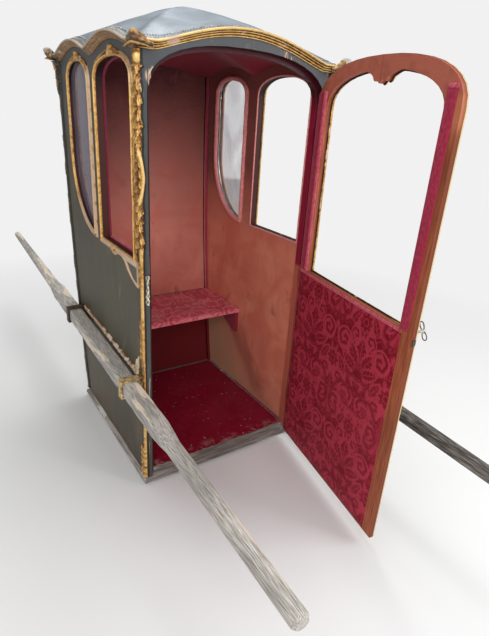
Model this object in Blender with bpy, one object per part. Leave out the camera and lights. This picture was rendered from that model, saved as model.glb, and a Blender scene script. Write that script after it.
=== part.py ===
"""A Rococo sedan chair: painted cabin with gilt mouldings, an open front door and two carrying poles.

Metres, +Z up. The front faces -Y and the origin is the centre of the base board's underside.
The door stands open as in the photograph, turned about its hinge line.
"""

import math

import bmesh
import bpy
from mathutils import Vector

# Cabin
HALF_WIDTH = 0.352
HALF_DEPTH = 0.3665
FRONT_Y = -HALF_DEPTH
BACK_FOOT_Y = HALF_DEPTH
CORNICE_DIP = 1.530
BASE_INSET_X = 0.027
BASE_INSET_Y = 0.029
BASE_WIDTH = 2 * (HALF_WIDTH - BASE_INSET_X)
BASE_DEPTH = 2 * (HALF_DEPTH - BASE_INSET_Y)
BASE_HEIGHT = 0.034
FLOOR_THICKNESS = 0.016
FLOOR_TOP = BASE_HEIGHT + FLOOR_THICKNESS
BACK_RAKE = 0.119
UPRIGHT_BAND = 0.180
BACK_RAKE_HEIGHT = CORNICE_DIP - UPRIGHT_BAND
SIDE_THICKNESS = 0.026
BACK_THICKNESS = 0.024
BACK_INSET = 0.003
GAP = 0.0003

# Plinth moulding round the foot
PLINTH_OUT = 0.014
PLINTH_UNDER = 0.012
SILL_OUT = 0.008

# Posts
POST_DEPTH = 0.046
JAMB_WIDTH = 0.020
STOP_STEP = 0.014
OPENING_HALF = HALF_WIDTH - JAMB_WIDTH
STOP_HALF = OPENING_HALF - STOP_STEP
REAR_POST_WIDTH = 0.040
REAR_POST_DEPTH = 0.040
ARCH_DROP = 0.130
ARCH_SPRING = CORNICE_DIP - ARCH_DROP
ARCH_RISE = 0.142
ARCH_POWER = 2.4

# Cornice: a serpentine line, level for a short way next to each corner
CORNICE_HEIGHT = 0.024
CORNICE_OUT = 0.028
CORNICE_IN = 0.030
FRONT_CROWN = 0.064
BACK_CROWN = 0.030
SIDE_CROWN = 0.037
CORNER_LEVEL = 0.042
MULLION_SHIFT = 0.064
MULLION_Y = (FRONT_Y + BACK_FOOT_Y) / 2 + MULLION_SHIFT
CROWN_POWER = 1.3
CORNICE_STEPS = 18
SIDE_STEPS = 24

# Roof
ROOF_OVERHANG = 0.014
ROOF_RISE = 0.170
ROOF_TOP = CORNICE_DIP + ROOF_RISE
ROOF_SHELL = 0.012
ROOF_RIM = 0.034
ROOF_RINGS = 8
ROOF_APEX_SHARE = 0.05
ROOF_STRAIGHT = 0.40

# Windows in each side
WINDOW_FRONT_INSET = 0.0585
WINDOW_FRONT_Y = FRONT_Y + WINDOW_FRONT_INSET
MULLION_WIDTH = 0.072
WINDOW_MULLION_FRONT = MULLION_Y - MULLION_WIDTH / 2
WINDOW_MULLION_BACK = MULLION_Y + MULLION_WIDTH / 2
WINDOW_REAR_INSET = 0.0115
WINDOW_REAR_Y = BACK_FOOT_Y - WINDOW_REAR_INSET
WINDOW_DROP = 0.100
WINDOW_SPRING = CORNICE_DIP - WINDOW_DROP
WINDOW_RISE = 0.070
WINDOW_SILL = 0.890
QUARTER_DROP = 0.250
QUARTER_SPRING = WINDOW_SPRING - QUARTER_DROP
WINDOW_POWER = 2.2
SILL_BAND = 0.048
SIDE_SPLIT = WINDOW_SILL - SILL_BAND
MOULDING_WIDTH = 0.019
MOULDING_DEPTH = 0.011
MOULDING_LAP = 0.004
CREST_RISE = 0.016
CREST_HALF = 0.055
CREST_FOOT = 0.300
SILL_MOULDING_WIDTH = 0.020
SILL_SWEEP = 0.072
SILL_SWEEP_RUN = 0.130
CARTOUCHE_SHIFT = 0.035
CARTOUCHE_HALF = 0.036
CARTOUCHE_DROP = 0.014
SILL_STEPS = 24
GLASS_THICKNESS = 0.003

# Gilt corner strips
STRIP_FOOT = 0.045
STRIP_LEG = 0.0095
STRIP_SIDE_LEG = 0.027
STRIP_THICKNESS = 0.011
STRIP_FULLNESS = 0.007
STRIP_SLIM_FOOT = 0.345
STRIP_SLIM_TOP = 0.505
STRIP_SLIM_RUN = 0.060
REAR_STRIP_LEG = 0.012
REAR_STRIP_THICKNESS = 0.008
REAR_STRIP_STATIONS = 32
STRIP_WAVE = 0.006
STRIP_RELIEF = 0.003
CONSOLE_SPREAD = 0.004
CONSOLE_BULGE = 0.006
STRIP_STATIONS = 60
STRIP_BLOCK_TOP = 0.180
LEAF_PITCH = 0.052
LEAF_FOOT = 0.944
SCROLL_TOP = 1.242
SCROLL_FOOT = 1.084
CONSOLE_DROP = 0.110
CONSOLE_FOOT = CORNICE_DIP - CONSOLE_DROP

# Small gilt hoods over the corners
HOOD_REACH = 0.056
HOOD_RISE = 0.026
HOOD_HEIGHT = 0.014
HOOD_OUT = 0.010
HOOD_ARCH = 0.005
HOOD_HORN = 0.012
HOOD_HORN_LIFT = 0.008
HOOD_HORN_POWER = 4
HOOD_STEPS = 8

# Poles and their iron staples; the poles rise a little towards the back
POLE_STAND_OFF = 0.045
POLE_X = HALF_WIDTH + POLE_STAND_OFF
POLE_Z = 0.4425
POLE_RISE_DEG = 2.5
POLE_SQUARE = 0.056
POLE_ROUND = 0.049
POLE_TIP = 0.034
POLE_FRONT_REACH = 0.935
POLE_REAR_REACH = 1.350
POLE_FRONT_Y = FRONT_Y - POLE_FRONT_REACH
POLE_REAR_Y = BACK_FOOT_Y + POLE_REAR_REACH
SHOULDER_FRONT_REACH = 0.2335
SHOULDER_REAR_REACH = 0.2735
POLE_SHOULDER_FRONT = FRONT_Y - SHOULDER_FRONT_REACH
POLE_SHOULDER_REAR = BACK_FOOT_Y + SHOULDER_REAR_REACH
POLE_SHOULDER_RUN = 0.080
STAPLE_CLEARANCE = 0.002
STAPLE_THICKNESS = 0.006
STAPLE_WIDTH = 0.030
STAPLE_FRONT_INSET = 0.0445
STAPLE_REAR_INSET = 0.0145
STAPLE_FRONT_Y = FRONT_Y + STAPLE_FRONT_INSET
STAPLE_REAR_Y = BACK_FOOT_Y - STAPLE_REAR_INSET
RAIL_HEIGHT = 0.020
RAIL_DEPTH = 0.013
RAIL_LEAF = 0.085

# Seat
SEAT_TOP = 0.465
SEAT_THICKNESS = 0.020
SEAT_SETBACK = 0.440
SEAT_FRONT_Y = FRONT_Y + SEAT_SETBACK
CLEAT_THICKNESS = 0.020
CLEAT_DROP = 0.106
CLEAT_LENGTH = 0.230

# Door
DOOR_OPEN_DEG = 79.5
DOOR_CLEARANCE = 0.005
DOOR_THICKNESS = 0.018
DOOR_FOOT = 0.040
DOOR_STILE = 0.057
DOOR_SILL = 0.812
DOOR_BOTTOM_RAIL = 0.060
DOOR_MID_RAIL = 0.050
DOOR_WINDOW_DROP = 0.005
DOOR_WINDOW_SPRING = ARCH_SPRING - DOOR_WINDOW_DROP
DOOR_WINDOW_RISE = 0.105
DOOR_CREST_HALF = 0.084
DOOR_CREST_DROP = 0.028
DOOR_LOBE_DROP = 0.010
DOOR_LOBE_PITCH = 0.027
DOOR_LOBES = 3
DOOR_CREST_STEPS = 32
DOOR_PANEL_THICKNESS = 0.012
HINGE_OUT = 0.009
KNUCKLE_RADIUS = 0.0075
KNUCKLE_HEIGHT = 0.032
KNUCKLE_LEAF = 0.0075
HINGE_FOOT = 0.200
HINGE_MIDDLE = 0.760
HINGE_TOP_DROP = 0.100
HINGE_HEIGHTS = (HINGE_FOOT, HINGE_MIDDLE, ARCH_SPRING - HINGE_TOP_DROP)
HANDLE_DROP = 0.007
HANDLE_Z = DOOR_SILL - HANDLE_DROP
HANDLE_IN = 0.024
SPINDLE_LENGTH = 0.034
SPINDLE_RADIUS = 0.004
LEVER_THICKNESS = 0.004
BOLT_DROP = 0.027
BOLT_Z = DOOR_SILL - BOLT_DROP

ARC_STEPS = 18

PARTS = bpy.data.collections.new("sedan_chair")
CUTTERS = bpy.data.collections.new("cutters")

MATERIAL_TABLE = {
    "olive_paint": ((0.098, 0.090, 0.078), 0.45, 0.0),
    "roof_leather": ((0.120, 0.160, 0.200), 0.35, 0.0),
    "gilding": ((0.480, 0.260, 0.060), 0.40, 0.8),
    "worn_wood": ((0.300, 0.285, 0.255), 0.75, 0.0),
    "pole_wood": ((0.310, 0.290, 0.260), 0.80, 0.0),
    "iron": ((0.090, 0.070, 0.055), 0.55, 0.7),
    "crimson_damask": ((0.250, 0.020, 0.050), 0.60, 0.0),
    "faded_silk": ((0.370, 0.110, 0.080), 0.65, 0.0),
    "door_wood": ((0.250, 0.090, 0.035), 0.55, 0.0),
    "old_glass": ((0.450, 0.430, 0.480), 0.20, 0.0),
    "steel": ((0.330, 0.320, 0.300), 0.35, 0.9),
}


def clear_scene():
    for obj in list(bpy.data.objects):
        bpy.data.objects.remove(obj, do_unlink=True)


def material(name):
    found = bpy.data.materials.get(name)
    if found:
        return found
    colour, roughness, metallic = MATERIAL_TABLE[name]
    made = bpy.data.materials.new(name)
    made.use_nodes = True
    shader = made.node_tree.nodes["Principled BSDF"]
    shader.inputs["Base Color"].default_value = (*colour, 1.0)
    shader.inputs["Roughness"].default_value = roughness
    shader.inputs["Metallic"].default_value = metallic
    made.diffuse_color = (*colour, 1.0)
    return made


def link(obj, finish):
    PARTS.objects.link(obj)
    obj.data.materials.append(material(finish))
    return obj


def mesh_object(name, shape, finish):
    bmesh.ops.recalc_face_normals(shape, faces=shape.faces)
    mesh = bpy.data.meshes.new(name)
    shape.to_mesh(mesh)
    shape.free()
    return link(bpy.data.objects.new(name, mesh), finish)


def box(name, low, high, finish):
    """A box between two corners."""
    shape = bmesh.new()
    bmesh.ops.create_cube(shape, size=1.0)
    low, high = Vector(low), Vector(high)
    bmesh.ops.scale(shape, vec=high - low, verts=shape.verts)
    bmesh.ops.translate(shape, vec=(low + high) / 2, verts=shape.verts)
    return mesh_object(name, shape, finish)


def flat_outline(name, outlines, thickness, finish):
    """A 2D curve, filled and extruded; the outlines after the first are holes."""
    curve = bpy.data.curves.new(name, "CURVE")
    curve.dimensions = "2D"
    curve.fill_mode = "BOTH"
    curve.extrude = thickness / 2
    for outline in outlines:
        spline = curve.splines.new("POLY")
        spline.points.add(len(outline) - 1)
        for point, (across, up) in zip(spline.points, outline):
            point.co = (across, up, 0.0, 1.0)
        spline.use_cyclic_u = True
    return link(bpy.data.objects.new(name, curve), finish)


def plate_xz(name, outlines, y_low, y_high, finish):
    """A plate drawn in X and Z that fills the space between two Y values."""
    obj = flat_outline(name, outlines, y_high - y_low, finish)
    obj.rotation_euler = (math.pi / 2, 0.0, 0.0)
    obj.location = (0.0, (y_low + y_high) / 2, 0.0)
    return obj


def plate_yz(name, outlines, x_low, x_high, finish):
    """A plate drawn in Y and Z that fills the space between two X values."""
    obj = flat_outline(name, outlines, x_high - x_low, finish)
    obj.rotation_euler = (math.pi / 2, 0.0, math.pi / 2)
    obj.location = ((x_low + x_high) / 2, 0.0, 0.0)
    return obj


def plate_xy(name, outlines, z_low, z_high, finish):
    """A plate drawn in X and Y that fills the space between two heights."""
    obj = flat_outline(name, outlines, z_high - z_low, finish)
    obj.location = (0.0, 0.0, (z_low + z_high) / 2)
    return obj


def loft(name, rings, finish):
    """Joins rings of equally many points; an end is capped, or drawn to a point where its ring is one point."""
    shape = bmesh.new()
    loops = [[shape.verts.new(point) for point in ring] for ring in rings]
    count = max(len(loop) for loop in loops)
    for lower, upper in zip(loops, loops[1:]):
        for i in range(count):
            j = (i + 1) % count
            corners = [lower[i % len(lower)], lower[j % len(lower)]]
            corners += [upper[j % len(upper)], upper[i % len(upper)]]
            shape.faces.new(list(dict.fromkeys(corners)))
    for end in (loops[0], loops[-1]):
        if len(end) > 1:
            shape.faces.new(end)
    return mesh_object(name, shape, finish)


def as_mesh(obj):
    """Turns a curve object into a welded mesh object of the same name and place."""
    bpy.context.view_layer.update()
    graph = bpy.context.evaluated_depsgraph_get()
    mesh = bpy.data.meshes.new_from_object(obj.evaluated_get(graph))
    name = obj.name
    finish = obj.data.materials[0]
    matrix = obj.matrix_world.copy()
    bpy.data.objects.remove(obj, do_unlink=True)
    mesh.name = name
    shape = bmesh.new()
    shape.from_mesh(mesh)
    bmesh.ops.remove_doubles(shape, verts=shape.verts, dist=1e-6)
    bmesh.ops.recalc_face_normals(shape, faces=shape.faces)
    shape.to_mesh(mesh)
    shape.free()
    mesh.materials.clear()
    mesh.materials.append(finish)
    made = bpy.data.objects.new(name, mesh)
    made.matrix_world = matrix
    PARTS.objects.link(made)
    return made


def combine(target, other, operation):
    """Adds a Boolean to the target and files the other object with the cutters."""
    PARTS.objects.unlink(other)
    CUTTERS.objects.link(other)
    other.hide_render = True
    other.display_type = "WIRE"
    step = target.modifiers.new(operation.lower(), "BOOLEAN")
    step.operation = operation
    step.solver = "EXACT"
    step.object = other
    return target


def back_y(z):
    """The outer face of the back, which leans out as it rises and stands upright near the top."""
    share = min(max(z / BACK_RAKE_HEIGHT, 0.0), 1.0)
    return BACK_FOOT_Y + BACK_RAKE * (1.0 - (1.0 - share) ** 2)


def heights(low, high, steps=ARC_STEPS):
    return [low + (high - low) * i / steps for i in range(steps + 1)]


def cross_stations():
    """Where the front and back cornices are measured, and all that meets them."""
    corner = HALF_WIDTH - GAP
    level = HALF_WIDTH - CORNER_LEVEL
    return [-corner] + heights(-level, level, CORNICE_STEPS) + [corner]


def side_stations():
    """Where the side cornices are measured, and all that meets them."""
    back = back_y(CORNICE_DIP)
    inner = heights(FRONT_Y + CORNER_LEVEL, back - CORNER_LEVEL, SIDE_STEPS)
    return [FRONT_Y + GAP] + inner + [back - GAP]


def under_cornice(line, stations, low, high):
    """The underside of a cornice between two places, with a running gap, in rising order."""
    inside = [place for place in stations if low < place < high]
    return [(p, station_height(line, stations, p) - CORNICE_HEIGHT - GAP) for p in [low] + inside + [high]]


def station_height(line, stations, place):
    """The cornice's height at a place, read along its straight runs between stations."""
    if place <= stations[0]:
        return line(stations[0])
    for before, after in zip(stations, stations[1:]):
        if place <= after:
            share = (place - before) / (after - before)
            return line(before) + (line(after) - line(before)) * share
    return line(stations[-1])


def arch(half, spring, rise, power, centre=0.0, steps=ARC_STEPS):
    """Points of a basket arch from its right springing to its left."""
    points = []
    for i in range(steps + 1):
        angle = math.pi * i / steps
        across = math.copysign(abs(math.cos(angle)) ** (2 / power), math.cos(angle))
        up = math.sin(angle) ** (2 / power) if 0 < i < steps else 0.0
        points.append((centre + half * across, spring + rise * up))
    return points


def crown(position, low, high):
    """How far up a single swell has come between its two ends."""
    middle, half = (low + high) / 2, (high - low) / 2
    inside = 1.0 - ((position - middle) / half) ** 2
    return max(inside, 0.0) ** CROWN_POWER


def front_line(x):
    """The top of the front cornice."""
    reach = HALF_WIDTH - CORNER_LEVEL
    return CORNICE_DIP + FRONT_CROWN * crown(x, -reach, reach)


def back_line(x):
    """The top of the back cornice."""
    reach = HALF_WIDTH - CORNER_LEVEL
    return CORNICE_DIP + BACK_CROWN * crown(x, -reach, reach)


def side_line(y):
    """The top of a side cornice: two swells with a cusp over the mullion."""
    front, back = FRONT_Y + CORNER_LEVEL, back_y(CORNICE_DIP) - CORNER_LEVEL
    swell = crown(y, front, MULLION_Y) if y < MULLION_Y else crown(y, MULLION_Y, back)
    return CORNICE_DIP + SIDE_CROWN * swell


def window_front():
    """The open front window of a side, anticlockwise in Y and Z."""
    middle = (WINDOW_FRONT_Y + WINDOW_MULLION_FRONT) / 2
    half = (WINDOW_MULLION_FRONT - WINDOW_FRONT_Y) / 2
    top = arch(half, WINDOW_SPRING, WINDOW_RISE, WINDOW_POWER, middle)
    return [(WINDOW_FRONT_Y, WINDOW_SILL), (WINDOW_MULLION_FRONT, WINDOW_SILL)] + top


def window_rear():
    """The glazed rear window of a side, with its lower back corner swept away in a long curve."""
    middle = (WINDOW_MULLION_BACK + WINDOW_REAR_Y) / 2
    half = (WINDOW_REAR_Y - WINDOW_MULLION_BACK) / 2
    top = arch(half, WINDOW_SPRING, WINDOW_RISE, WINDOW_POWER, middle)
    sweep = []
    for i in range(ARC_STEPS):
        angle = math.pi / 2 * i / ARC_STEPS
        across = WINDOW_MULLION_BACK + 2 * half * math.sin(angle)
        sweep.append((across, QUARTER_SPRING - (QUARTER_SPRING - WINDOW_SILL) * math.cos(angle)))
    return sweep + [(WINDOW_REAR_Y, QUARTER_SPRING)] + top


def grown(outline, distance):
    """The outline moved outward along its corner bisectors."""
    count = len(outline)
    result = []
    for i in range(count):
        before, here, after = (Vector(outline[(i + k) % count]) for k in (-1, 0, 1))
        first, second = (here - before), (after - here)
        if first.length < 1e-9 or second.length < 1e-9:
            continue
        first.normalize()
        second.normalize()
        normal = Vector((first.y + second.y, -first.x - second.x))
        normal.normalize()
        stretch = max(normal.dot(Vector((first.y, -first.x))), 0.5)
        result.append(tuple(here + normal * distance / stretch))
    return result


def ease(share):
    """A smooth step from 0 to 1."""
    share = min(max(share, 0.0), 1.0)
    return share * share * (3.0 - 2.0 * share)


def sill_line(y):
    """The lower edge of the front window's moulding: a cartouche, then an S that falls to the post."""
    fall = SILL_SWEEP * ease(1.0 - (y - WINDOW_FRONT_Y) / SILL_SWEEP_RUN)
    middle = (WINDOW_FRONT_Y + WINDOW_MULLION_FRONT) / 2 + CARTOUCHE_SHIFT
    swell = CARTOUCHE_DROP * ease(1.0 - abs(y - middle) / CARTOUCHE_HALF)
    return WINDOW_SILL - SILL_MOULDING_WIDTH - fall - swell


def front_moulding_outline():
    """The outer edge of the front window's moulding, anticlockwise in Y and Z."""
    middle = (WINDOW_FRONT_Y + WINDOW_MULLION_FRONT) / 2
    edge = grown(window_front(), MOULDING_WIDTH - MOULDING_LAP)
    edge = crested(edge, middle, 1, CREST_RISE, CREST_HALF)
    low = [(y, sill_line(y)) for y in heights(edge[0][0], edge[1][0], SILL_STEPS)]
    return low + edge[2:]


def crested(outline, middle, sign, rise, half):
    """The outline with a small crest raised on its top, or hung from it, about one place."""
    result = []
    for across, up in outline:
        share = max(0.0, 1.0 - abs(across - middle) / half)
        swell = ease(share) if up > WINDOW_SILL + CREST_FOOT else 0.0
        result.append((across, up + sign * rise * swell))
    return result


def build_base():
    box(
        "base_board",
        (-BASE_WIDTH / 2, -BASE_DEPTH / 2, 0.0),
        (BASE_WIDTH / 2, BASE_DEPTH / 2, BASE_HEIGHT - GAP),
        "worn_wood",
    )
    out = HALF_WIDTH + PLINTH_OUT
    inner_x = BASE_WIDTH / 2 + GAP
    inner_y = BASE_DEPTH / 2 + GAP
    front = FRONT_Y - SILL_OUT
    back = BACK_FOOT_Y + PLINTH_OUT
    mitre = GAP / 2
    for name, side in (("left", -1), ("right", 1)):
        outline = [
            (side * inner_x, -inner_y + mitre),
            (side * out, front + mitre),
            (side * out, back - mitre),
            (side * inner_x, inner_y - mitre),
        ]
        plate_xy("plinth_" + name, [outline], PLINTH_UNDER, BASE_HEIGHT, "worn_wood")
    shift = mitre
    front_outline = [
        (-out + shift, front),
        (out - shift, front),
        (inner_x - shift, -inner_y),
        (-inner_x + shift, -inner_y),
    ]
    back_outline = [
        (-inner_x + shift, inner_y),
        (inner_x - shift, inner_y),
        (out - shift, back),
        (-out + shift, back),
    ]
    plate_xy("front_sill", [front_outline], PLINTH_UNDER, BASE_HEIGHT, "worn_wood")
    plate_xy("plinth_back", [back_outline], PLINTH_UNDER, BASE_HEIGHT, "worn_wood")
    wall = HALF_WIDTH - SIDE_THICKNESS - GAP
    post_inner = HALF_WIDTH - REAR_POST_WIDTH - GAP
    notch_front = FRONT_Y + POST_DEPTH + GAP
    notch_back = back_y(BASE_HEIGHT) - REAR_POST_DEPTH - GAP
    lip = FRONT_Y + DOOR_THICKNESS + DOOR_CLEARANCE
    rear = back_y(BASE_HEIGHT) - BACK_INSET - BACK_THICKNESS - GAP
    half_floor = [
        (STOP_HALF - GAP, lip),
        (STOP_HALF - GAP, notch_front),
        (wall, notch_front),
        (wall, notch_back),
        (post_inner, notch_back),
        (post_inner, rear),
    ]
    outline = half_floor + [(-x, y) for x, y in reversed(half_floor)]
    plate_xy("floor_board", [outline], BASE_HEIGHT, FLOOR_TOP, "crimson_damask")


def build_posts():
    foot = BASE_HEIGHT + GAP
    for name, side in (("left", -1), ("right", 1)):
        rebate = FRONT_Y + DOOR_THICKNESS + DOOR_CLEARANCE
        outline = [
            (side * OPENING_HALF, FRONT_Y),
            (side * HALF_WIDTH, FRONT_Y),
            (side * HALF_WIDTH, FRONT_Y + POST_DEPTH),
            (side * STOP_HALF, FRONT_Y + POST_DEPTH),
            (side * STOP_HALF, rebate),
            (side * OPENING_HALF, rebate),
        ]
        plate_xy("post_front_" + name, [outline], foot, ARCH_SPRING - GAP, "olive_paint")
        top = CORNICE_DIP - CORNICE_HEIGHT - GAP
        outer = [(back_y(z), z) for z in heights(foot, top)]
        inner = [(y - REAR_POST_DEPTH, z) for y, z in reversed(outer)]
        near, far = sorted((side * (HALF_WIDTH - REAR_POST_WIDTH), side * HALF_WIDTH))
        plate_yz("post_rear_" + name, [outer + inner], near, far, "olive_paint")


def build_back():
    foot = BASE_HEIGHT + GAP
    half = HALF_WIDTH - REAR_POST_WIDTH - GAP
    top = CORNICE_DIP + BACK_CROWN
    outer = [(back_y(z) - BACK_INSET, z) for z in heights(foot, top)]
    inner = [(y - BACK_THICKNESS, z) for y, z in reversed(outer)]
    panel = as_mesh(plate_yz("back_panel", [outer + inner], -half, half, "olive_paint"))
    reach = half + BACK_THICKNESS
    line = under_cornice(back_line, cross_stations(), -reach, reach)
    above = line + [(reach, top + BACK_RAKE), (-reach, top + BACK_RAKE)]
    span = (BACK_FOOT_Y - 0.1, back_y(top) + 0.1)
    cutter = as_mesh(plate_xz("back_trim", [above], span[0], span[1], "olive_paint"))
    combine(panel, cutter, "DIFFERENCE")


def header_outline(half, rise):
    outer = HALF_WIDTH
    line = under_cornice(front_line, cross_stations(), -outer, outer)
    opening = arch(half, ARCH_SPRING, rise, ARCH_POWER)
    return line + [(outer, ARCH_SPRING)] + opening + [(-outer, ARCH_SPRING)]


def build_header():
    rebate = FRONT_Y + DOOR_THICKNESS + DOOR_CLEARANCE
    lap = 0.001
    header = plate_xz(
        "header_front", [header_outline(OPENING_HALF, ARCH_RISE)], FRONT_Y, rebate, "olive_paint"
    )
    stop = plate_xz(
        "header_stop",
        [header_outline(STOP_HALF, ARCH_RISE - STOP_STEP)],
        rebate - lap,
        FRONT_Y + POST_DEPTH,
        "olive_paint",
    )
    combine(as_mesh(header), as_mesh(stop), "UNION")


def build_sides():
    foot = BASE_HEIGHT + GAP
    front = FRONT_Y + POST_DEPTH + GAP

    def rear(z):
        return back_y(z) - REAR_POST_DEPTH - GAP

    for name, side in (("left", -1), ("right", 1)):
        low, high = sorted((side * (HALF_WIDTH - SIDE_THICKNESS), side * HALF_WIDTH))
        lower = [(front, SIDE_SPLIT - GAP / 2), (front, foot)]
        lower += [(rear(z), z) for z in heights(foot, SIDE_SPLIT - GAP / 2)]
        plate_yz("side_panel_" + name, [lower], low, high, "olive_paint")
        split = SIDE_SPLIT + GAP / 2
        top = CORNICE_DIP - CORNICE_HEIGHT - GAP
        upper = [(front, split)] + [(rear(z), z) for z in heights(split, top)]
        last = rear(top)
        crest = under_cornice(side_line, side_stations(), front, last)
        upper += list(reversed(crest))
        plate_yz(
            "side_frame_" + name, [upper, window_front(), window_rear()], low, high, "olive_paint"
        )


def cornice_section():
    """Outward and upward steps of the moulding, from the inner foot round to the inner top."""
    return [
        (-CORNICE_IN, 0.0),
        (0.002, 0.0),
        (0.006, 0.17 * CORNICE_HEIGHT),
        (0.5 * CORNICE_OUT, 0.29 * CORNICE_HEIGHT),
        (0.66 * CORNICE_OUT, 0.46 * CORNICE_HEIGHT),
        (0.9 * CORNICE_OUT, 0.63 * CORNICE_HEIGHT),
        (CORNICE_OUT, 0.83 * CORNICE_HEIGHT),
        (0.86 * CORNICE_OUT, CORNICE_HEIGHT),
        (-CORNICE_IN, CORNICE_HEIGHT),
    ]


def cornice_rings(points, outward, ends):
    """Rings along the cornice; the end rings lie on the mitre planes of the corners."""
    rings = []
    for index, (x, y, z) in enumerate(points):
        direction = outward
        if index == 0:
            direction = ends[0]
        if index == len(points) - 1:
            direction = ends[1]
        ring = []
        for out, up in cornice_section():
            ring.append((x + direction[0] * out, y + direction[1] * out, z - CORNICE_HEIGHT + up))
        rings.append(ring)
    return rings


def build_cornice():
    back = back_y(CORNICE_DIP)
    spans = cross_stations()
    front_points = [(x, FRONT_Y, front_line(x)) for x in spans]
    loft("cornice_front", cornice_rings(front_points, (0, -1), ((-1, -1), (1, -1))), "gilding")
    back_points = [(x, back, back_line(x)) for x in spans]
    loft("cornice_back", cornice_rings(back_points, (0, 1), ((-1, 1), (1, 1))), "gilding")
    runs = side_stations()
    for name, side in (("left", -1), ("right", 1)):
        points = [(side * HALF_WIDTH, y, side_line(y)) for y in runs]
        rings = cornice_rings(points, (side, 0), ((side, -1), (side, 1)))
        loft("cornice_" + name, rings, "gilding")


def roof_edge(out):
    """The roof's plan outline at the cornice, moved out by a distance, with the cornice's height."""
    back = back_y(CORNICE_DIP)
    across = cross_stations()
    along = side_stations()
    sides = (
        ([(x, FRONT_Y, front_line(x)) for x in across], (0, -1), (-1, -1)),
        ([(HALF_WIDTH, y, side_line(y)) for y in along], (1, 0), (1, -1)),
        ([(x, back, back_line(x)) for x in reversed(across)], (0, 1), (1, 1)),
        ([(-HALF_WIDTH, y, side_line(y)) for y in reversed(along)], (-1, 0), (-1, 1)),
    )
    edge = []
    for points, outward, corner in sides:
        for index, (x, y, z) in enumerate(points[:-1]):
            direction = outward if index else corner
            edge.append((x + direction[0] * out, y + direction[1] * out, z + GAP))
    return edge


def roof_ring(edge, inward, drop):
    """One ring of the roof, a share of the way from the edge to the top."""
    middle_y = (FRONT_Y + back_y(CORNICE_DIP)) / 2
    climb = ROOF_STRAIGHT * inward + (1 - ROOF_STRAIGHT) * math.sin(math.pi / 2 * inward)
    fade = (1 - inward) ** 2
    ring = []
    for x, y, z in edge:
        foot = CORNICE_DIP + (z - CORNICE_DIP) * fade
        height = foot + (ROOF_TOP - CORNICE_DIP) * climb - drop
        ring.append((x * (1 - inward), middle_y + (y - middle_y) * (1 - inward), height))
    return ring


def build_roof():
    outer_edge = roof_edge(ROOF_OVERHANG)
    inner_edge = roof_edge(ROOF_OVERHANG - ROOF_RIM)
    middle_y = (FRONT_Y + back_y(CORNICE_DIP)) / 2
    shares = [(1 - ROOF_APEX_SHARE) * i / ROOF_RINGS for i in range(ROOF_RINGS + 1)]
    rings = [[(0.0, middle_y, ROOF_TOP)]]
    rings += [roof_ring(outer_edge, share, 0.0) for share in reversed(shares)]
    rings.append(inner_edge)
    for share in shares[1:]:
        rings.append(roof_ring(inner_edge, share, ROOF_SHELL))
    rings.append([(0.0, middle_y, ROOF_TOP - ROOF_SHELL)])
    loft("roof_shell", rings, "roof_leather")


def build_hoods():
    """A gilt chevron that wraps each corner of the cornice and peaks on the corner itself."""
    back = back_y(CORNICE_DIP)
    base = CORNICE_DIP - CORNICE_HEIGHT
    for end, corner_y, into in (("front", FRONT_Y, 1), ("rear", back, -1)):
        for name, side in (("left", -1), ("right", 1)):
            face_x = side * (HALF_WIDTH + CORNICE_OUT + GAP)
            face_y = corner_y - into * (CORNICE_OUT + GAP)
            rings = []
            for step in heights(-1.0, 1.0, 2 * HOOD_STEPS):
                along = abs(step)
                bell = ease(1.0 - along)
                horn = bell**HOOD_HORN_POWER
                low = base + HOOD_ARCH * bell
                high = base + HOOD_HEIGHT + HOOD_RISE * bell
                back_x, back_y_ = face_x, face_y
                front_x = face_x + side * HOOD_OUT
                front_y = face_y - into * HOOD_OUT
                if step < 0:
                    back_x = face_x - side * HOOD_REACH * along
                    front_x = back_x
                if step > 0:
                    back_y_ = face_y + into * HOOD_REACH * along
                    front_y = back_y_
                rings.append(
                    [
                        (back_x, back_y_, low),
                        (front_x, front_y, low),
                        (
                            front_x + side * HOOD_HORN * horn,
                            front_y - into * HOOD_HORN * horn,
                            high + HOOD_HORN_LIFT * horn,
                        ),
                        (back_x, back_y_, high),
                    ]
                )
            loft(f"corner_hood_{end}_{name}", rings, "gilding")


def strip_narrowing(z):
    """How much narrower a corner strip is at a height, from 0 to 1: leaf tips, a scroll, a plain rod."""
    if z < STRIP_BLOCK_TOP:
        return 0.0
    leaf = (z % LEAF_PITCH) / LEAF_PITCH
    if SCROLL_FOOT < z < SCROLL_TOP:
        share = (z - SCROLL_FOOT) / (SCROLL_TOP - SCROLL_FOOT)
        return 0.8 - 0.8 * math.sin(math.pi * share) ** 2
    if z > LEAF_FOOT:
        return 0.8 * leaf
    return 1.0 - 0.4 * leaf


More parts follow.
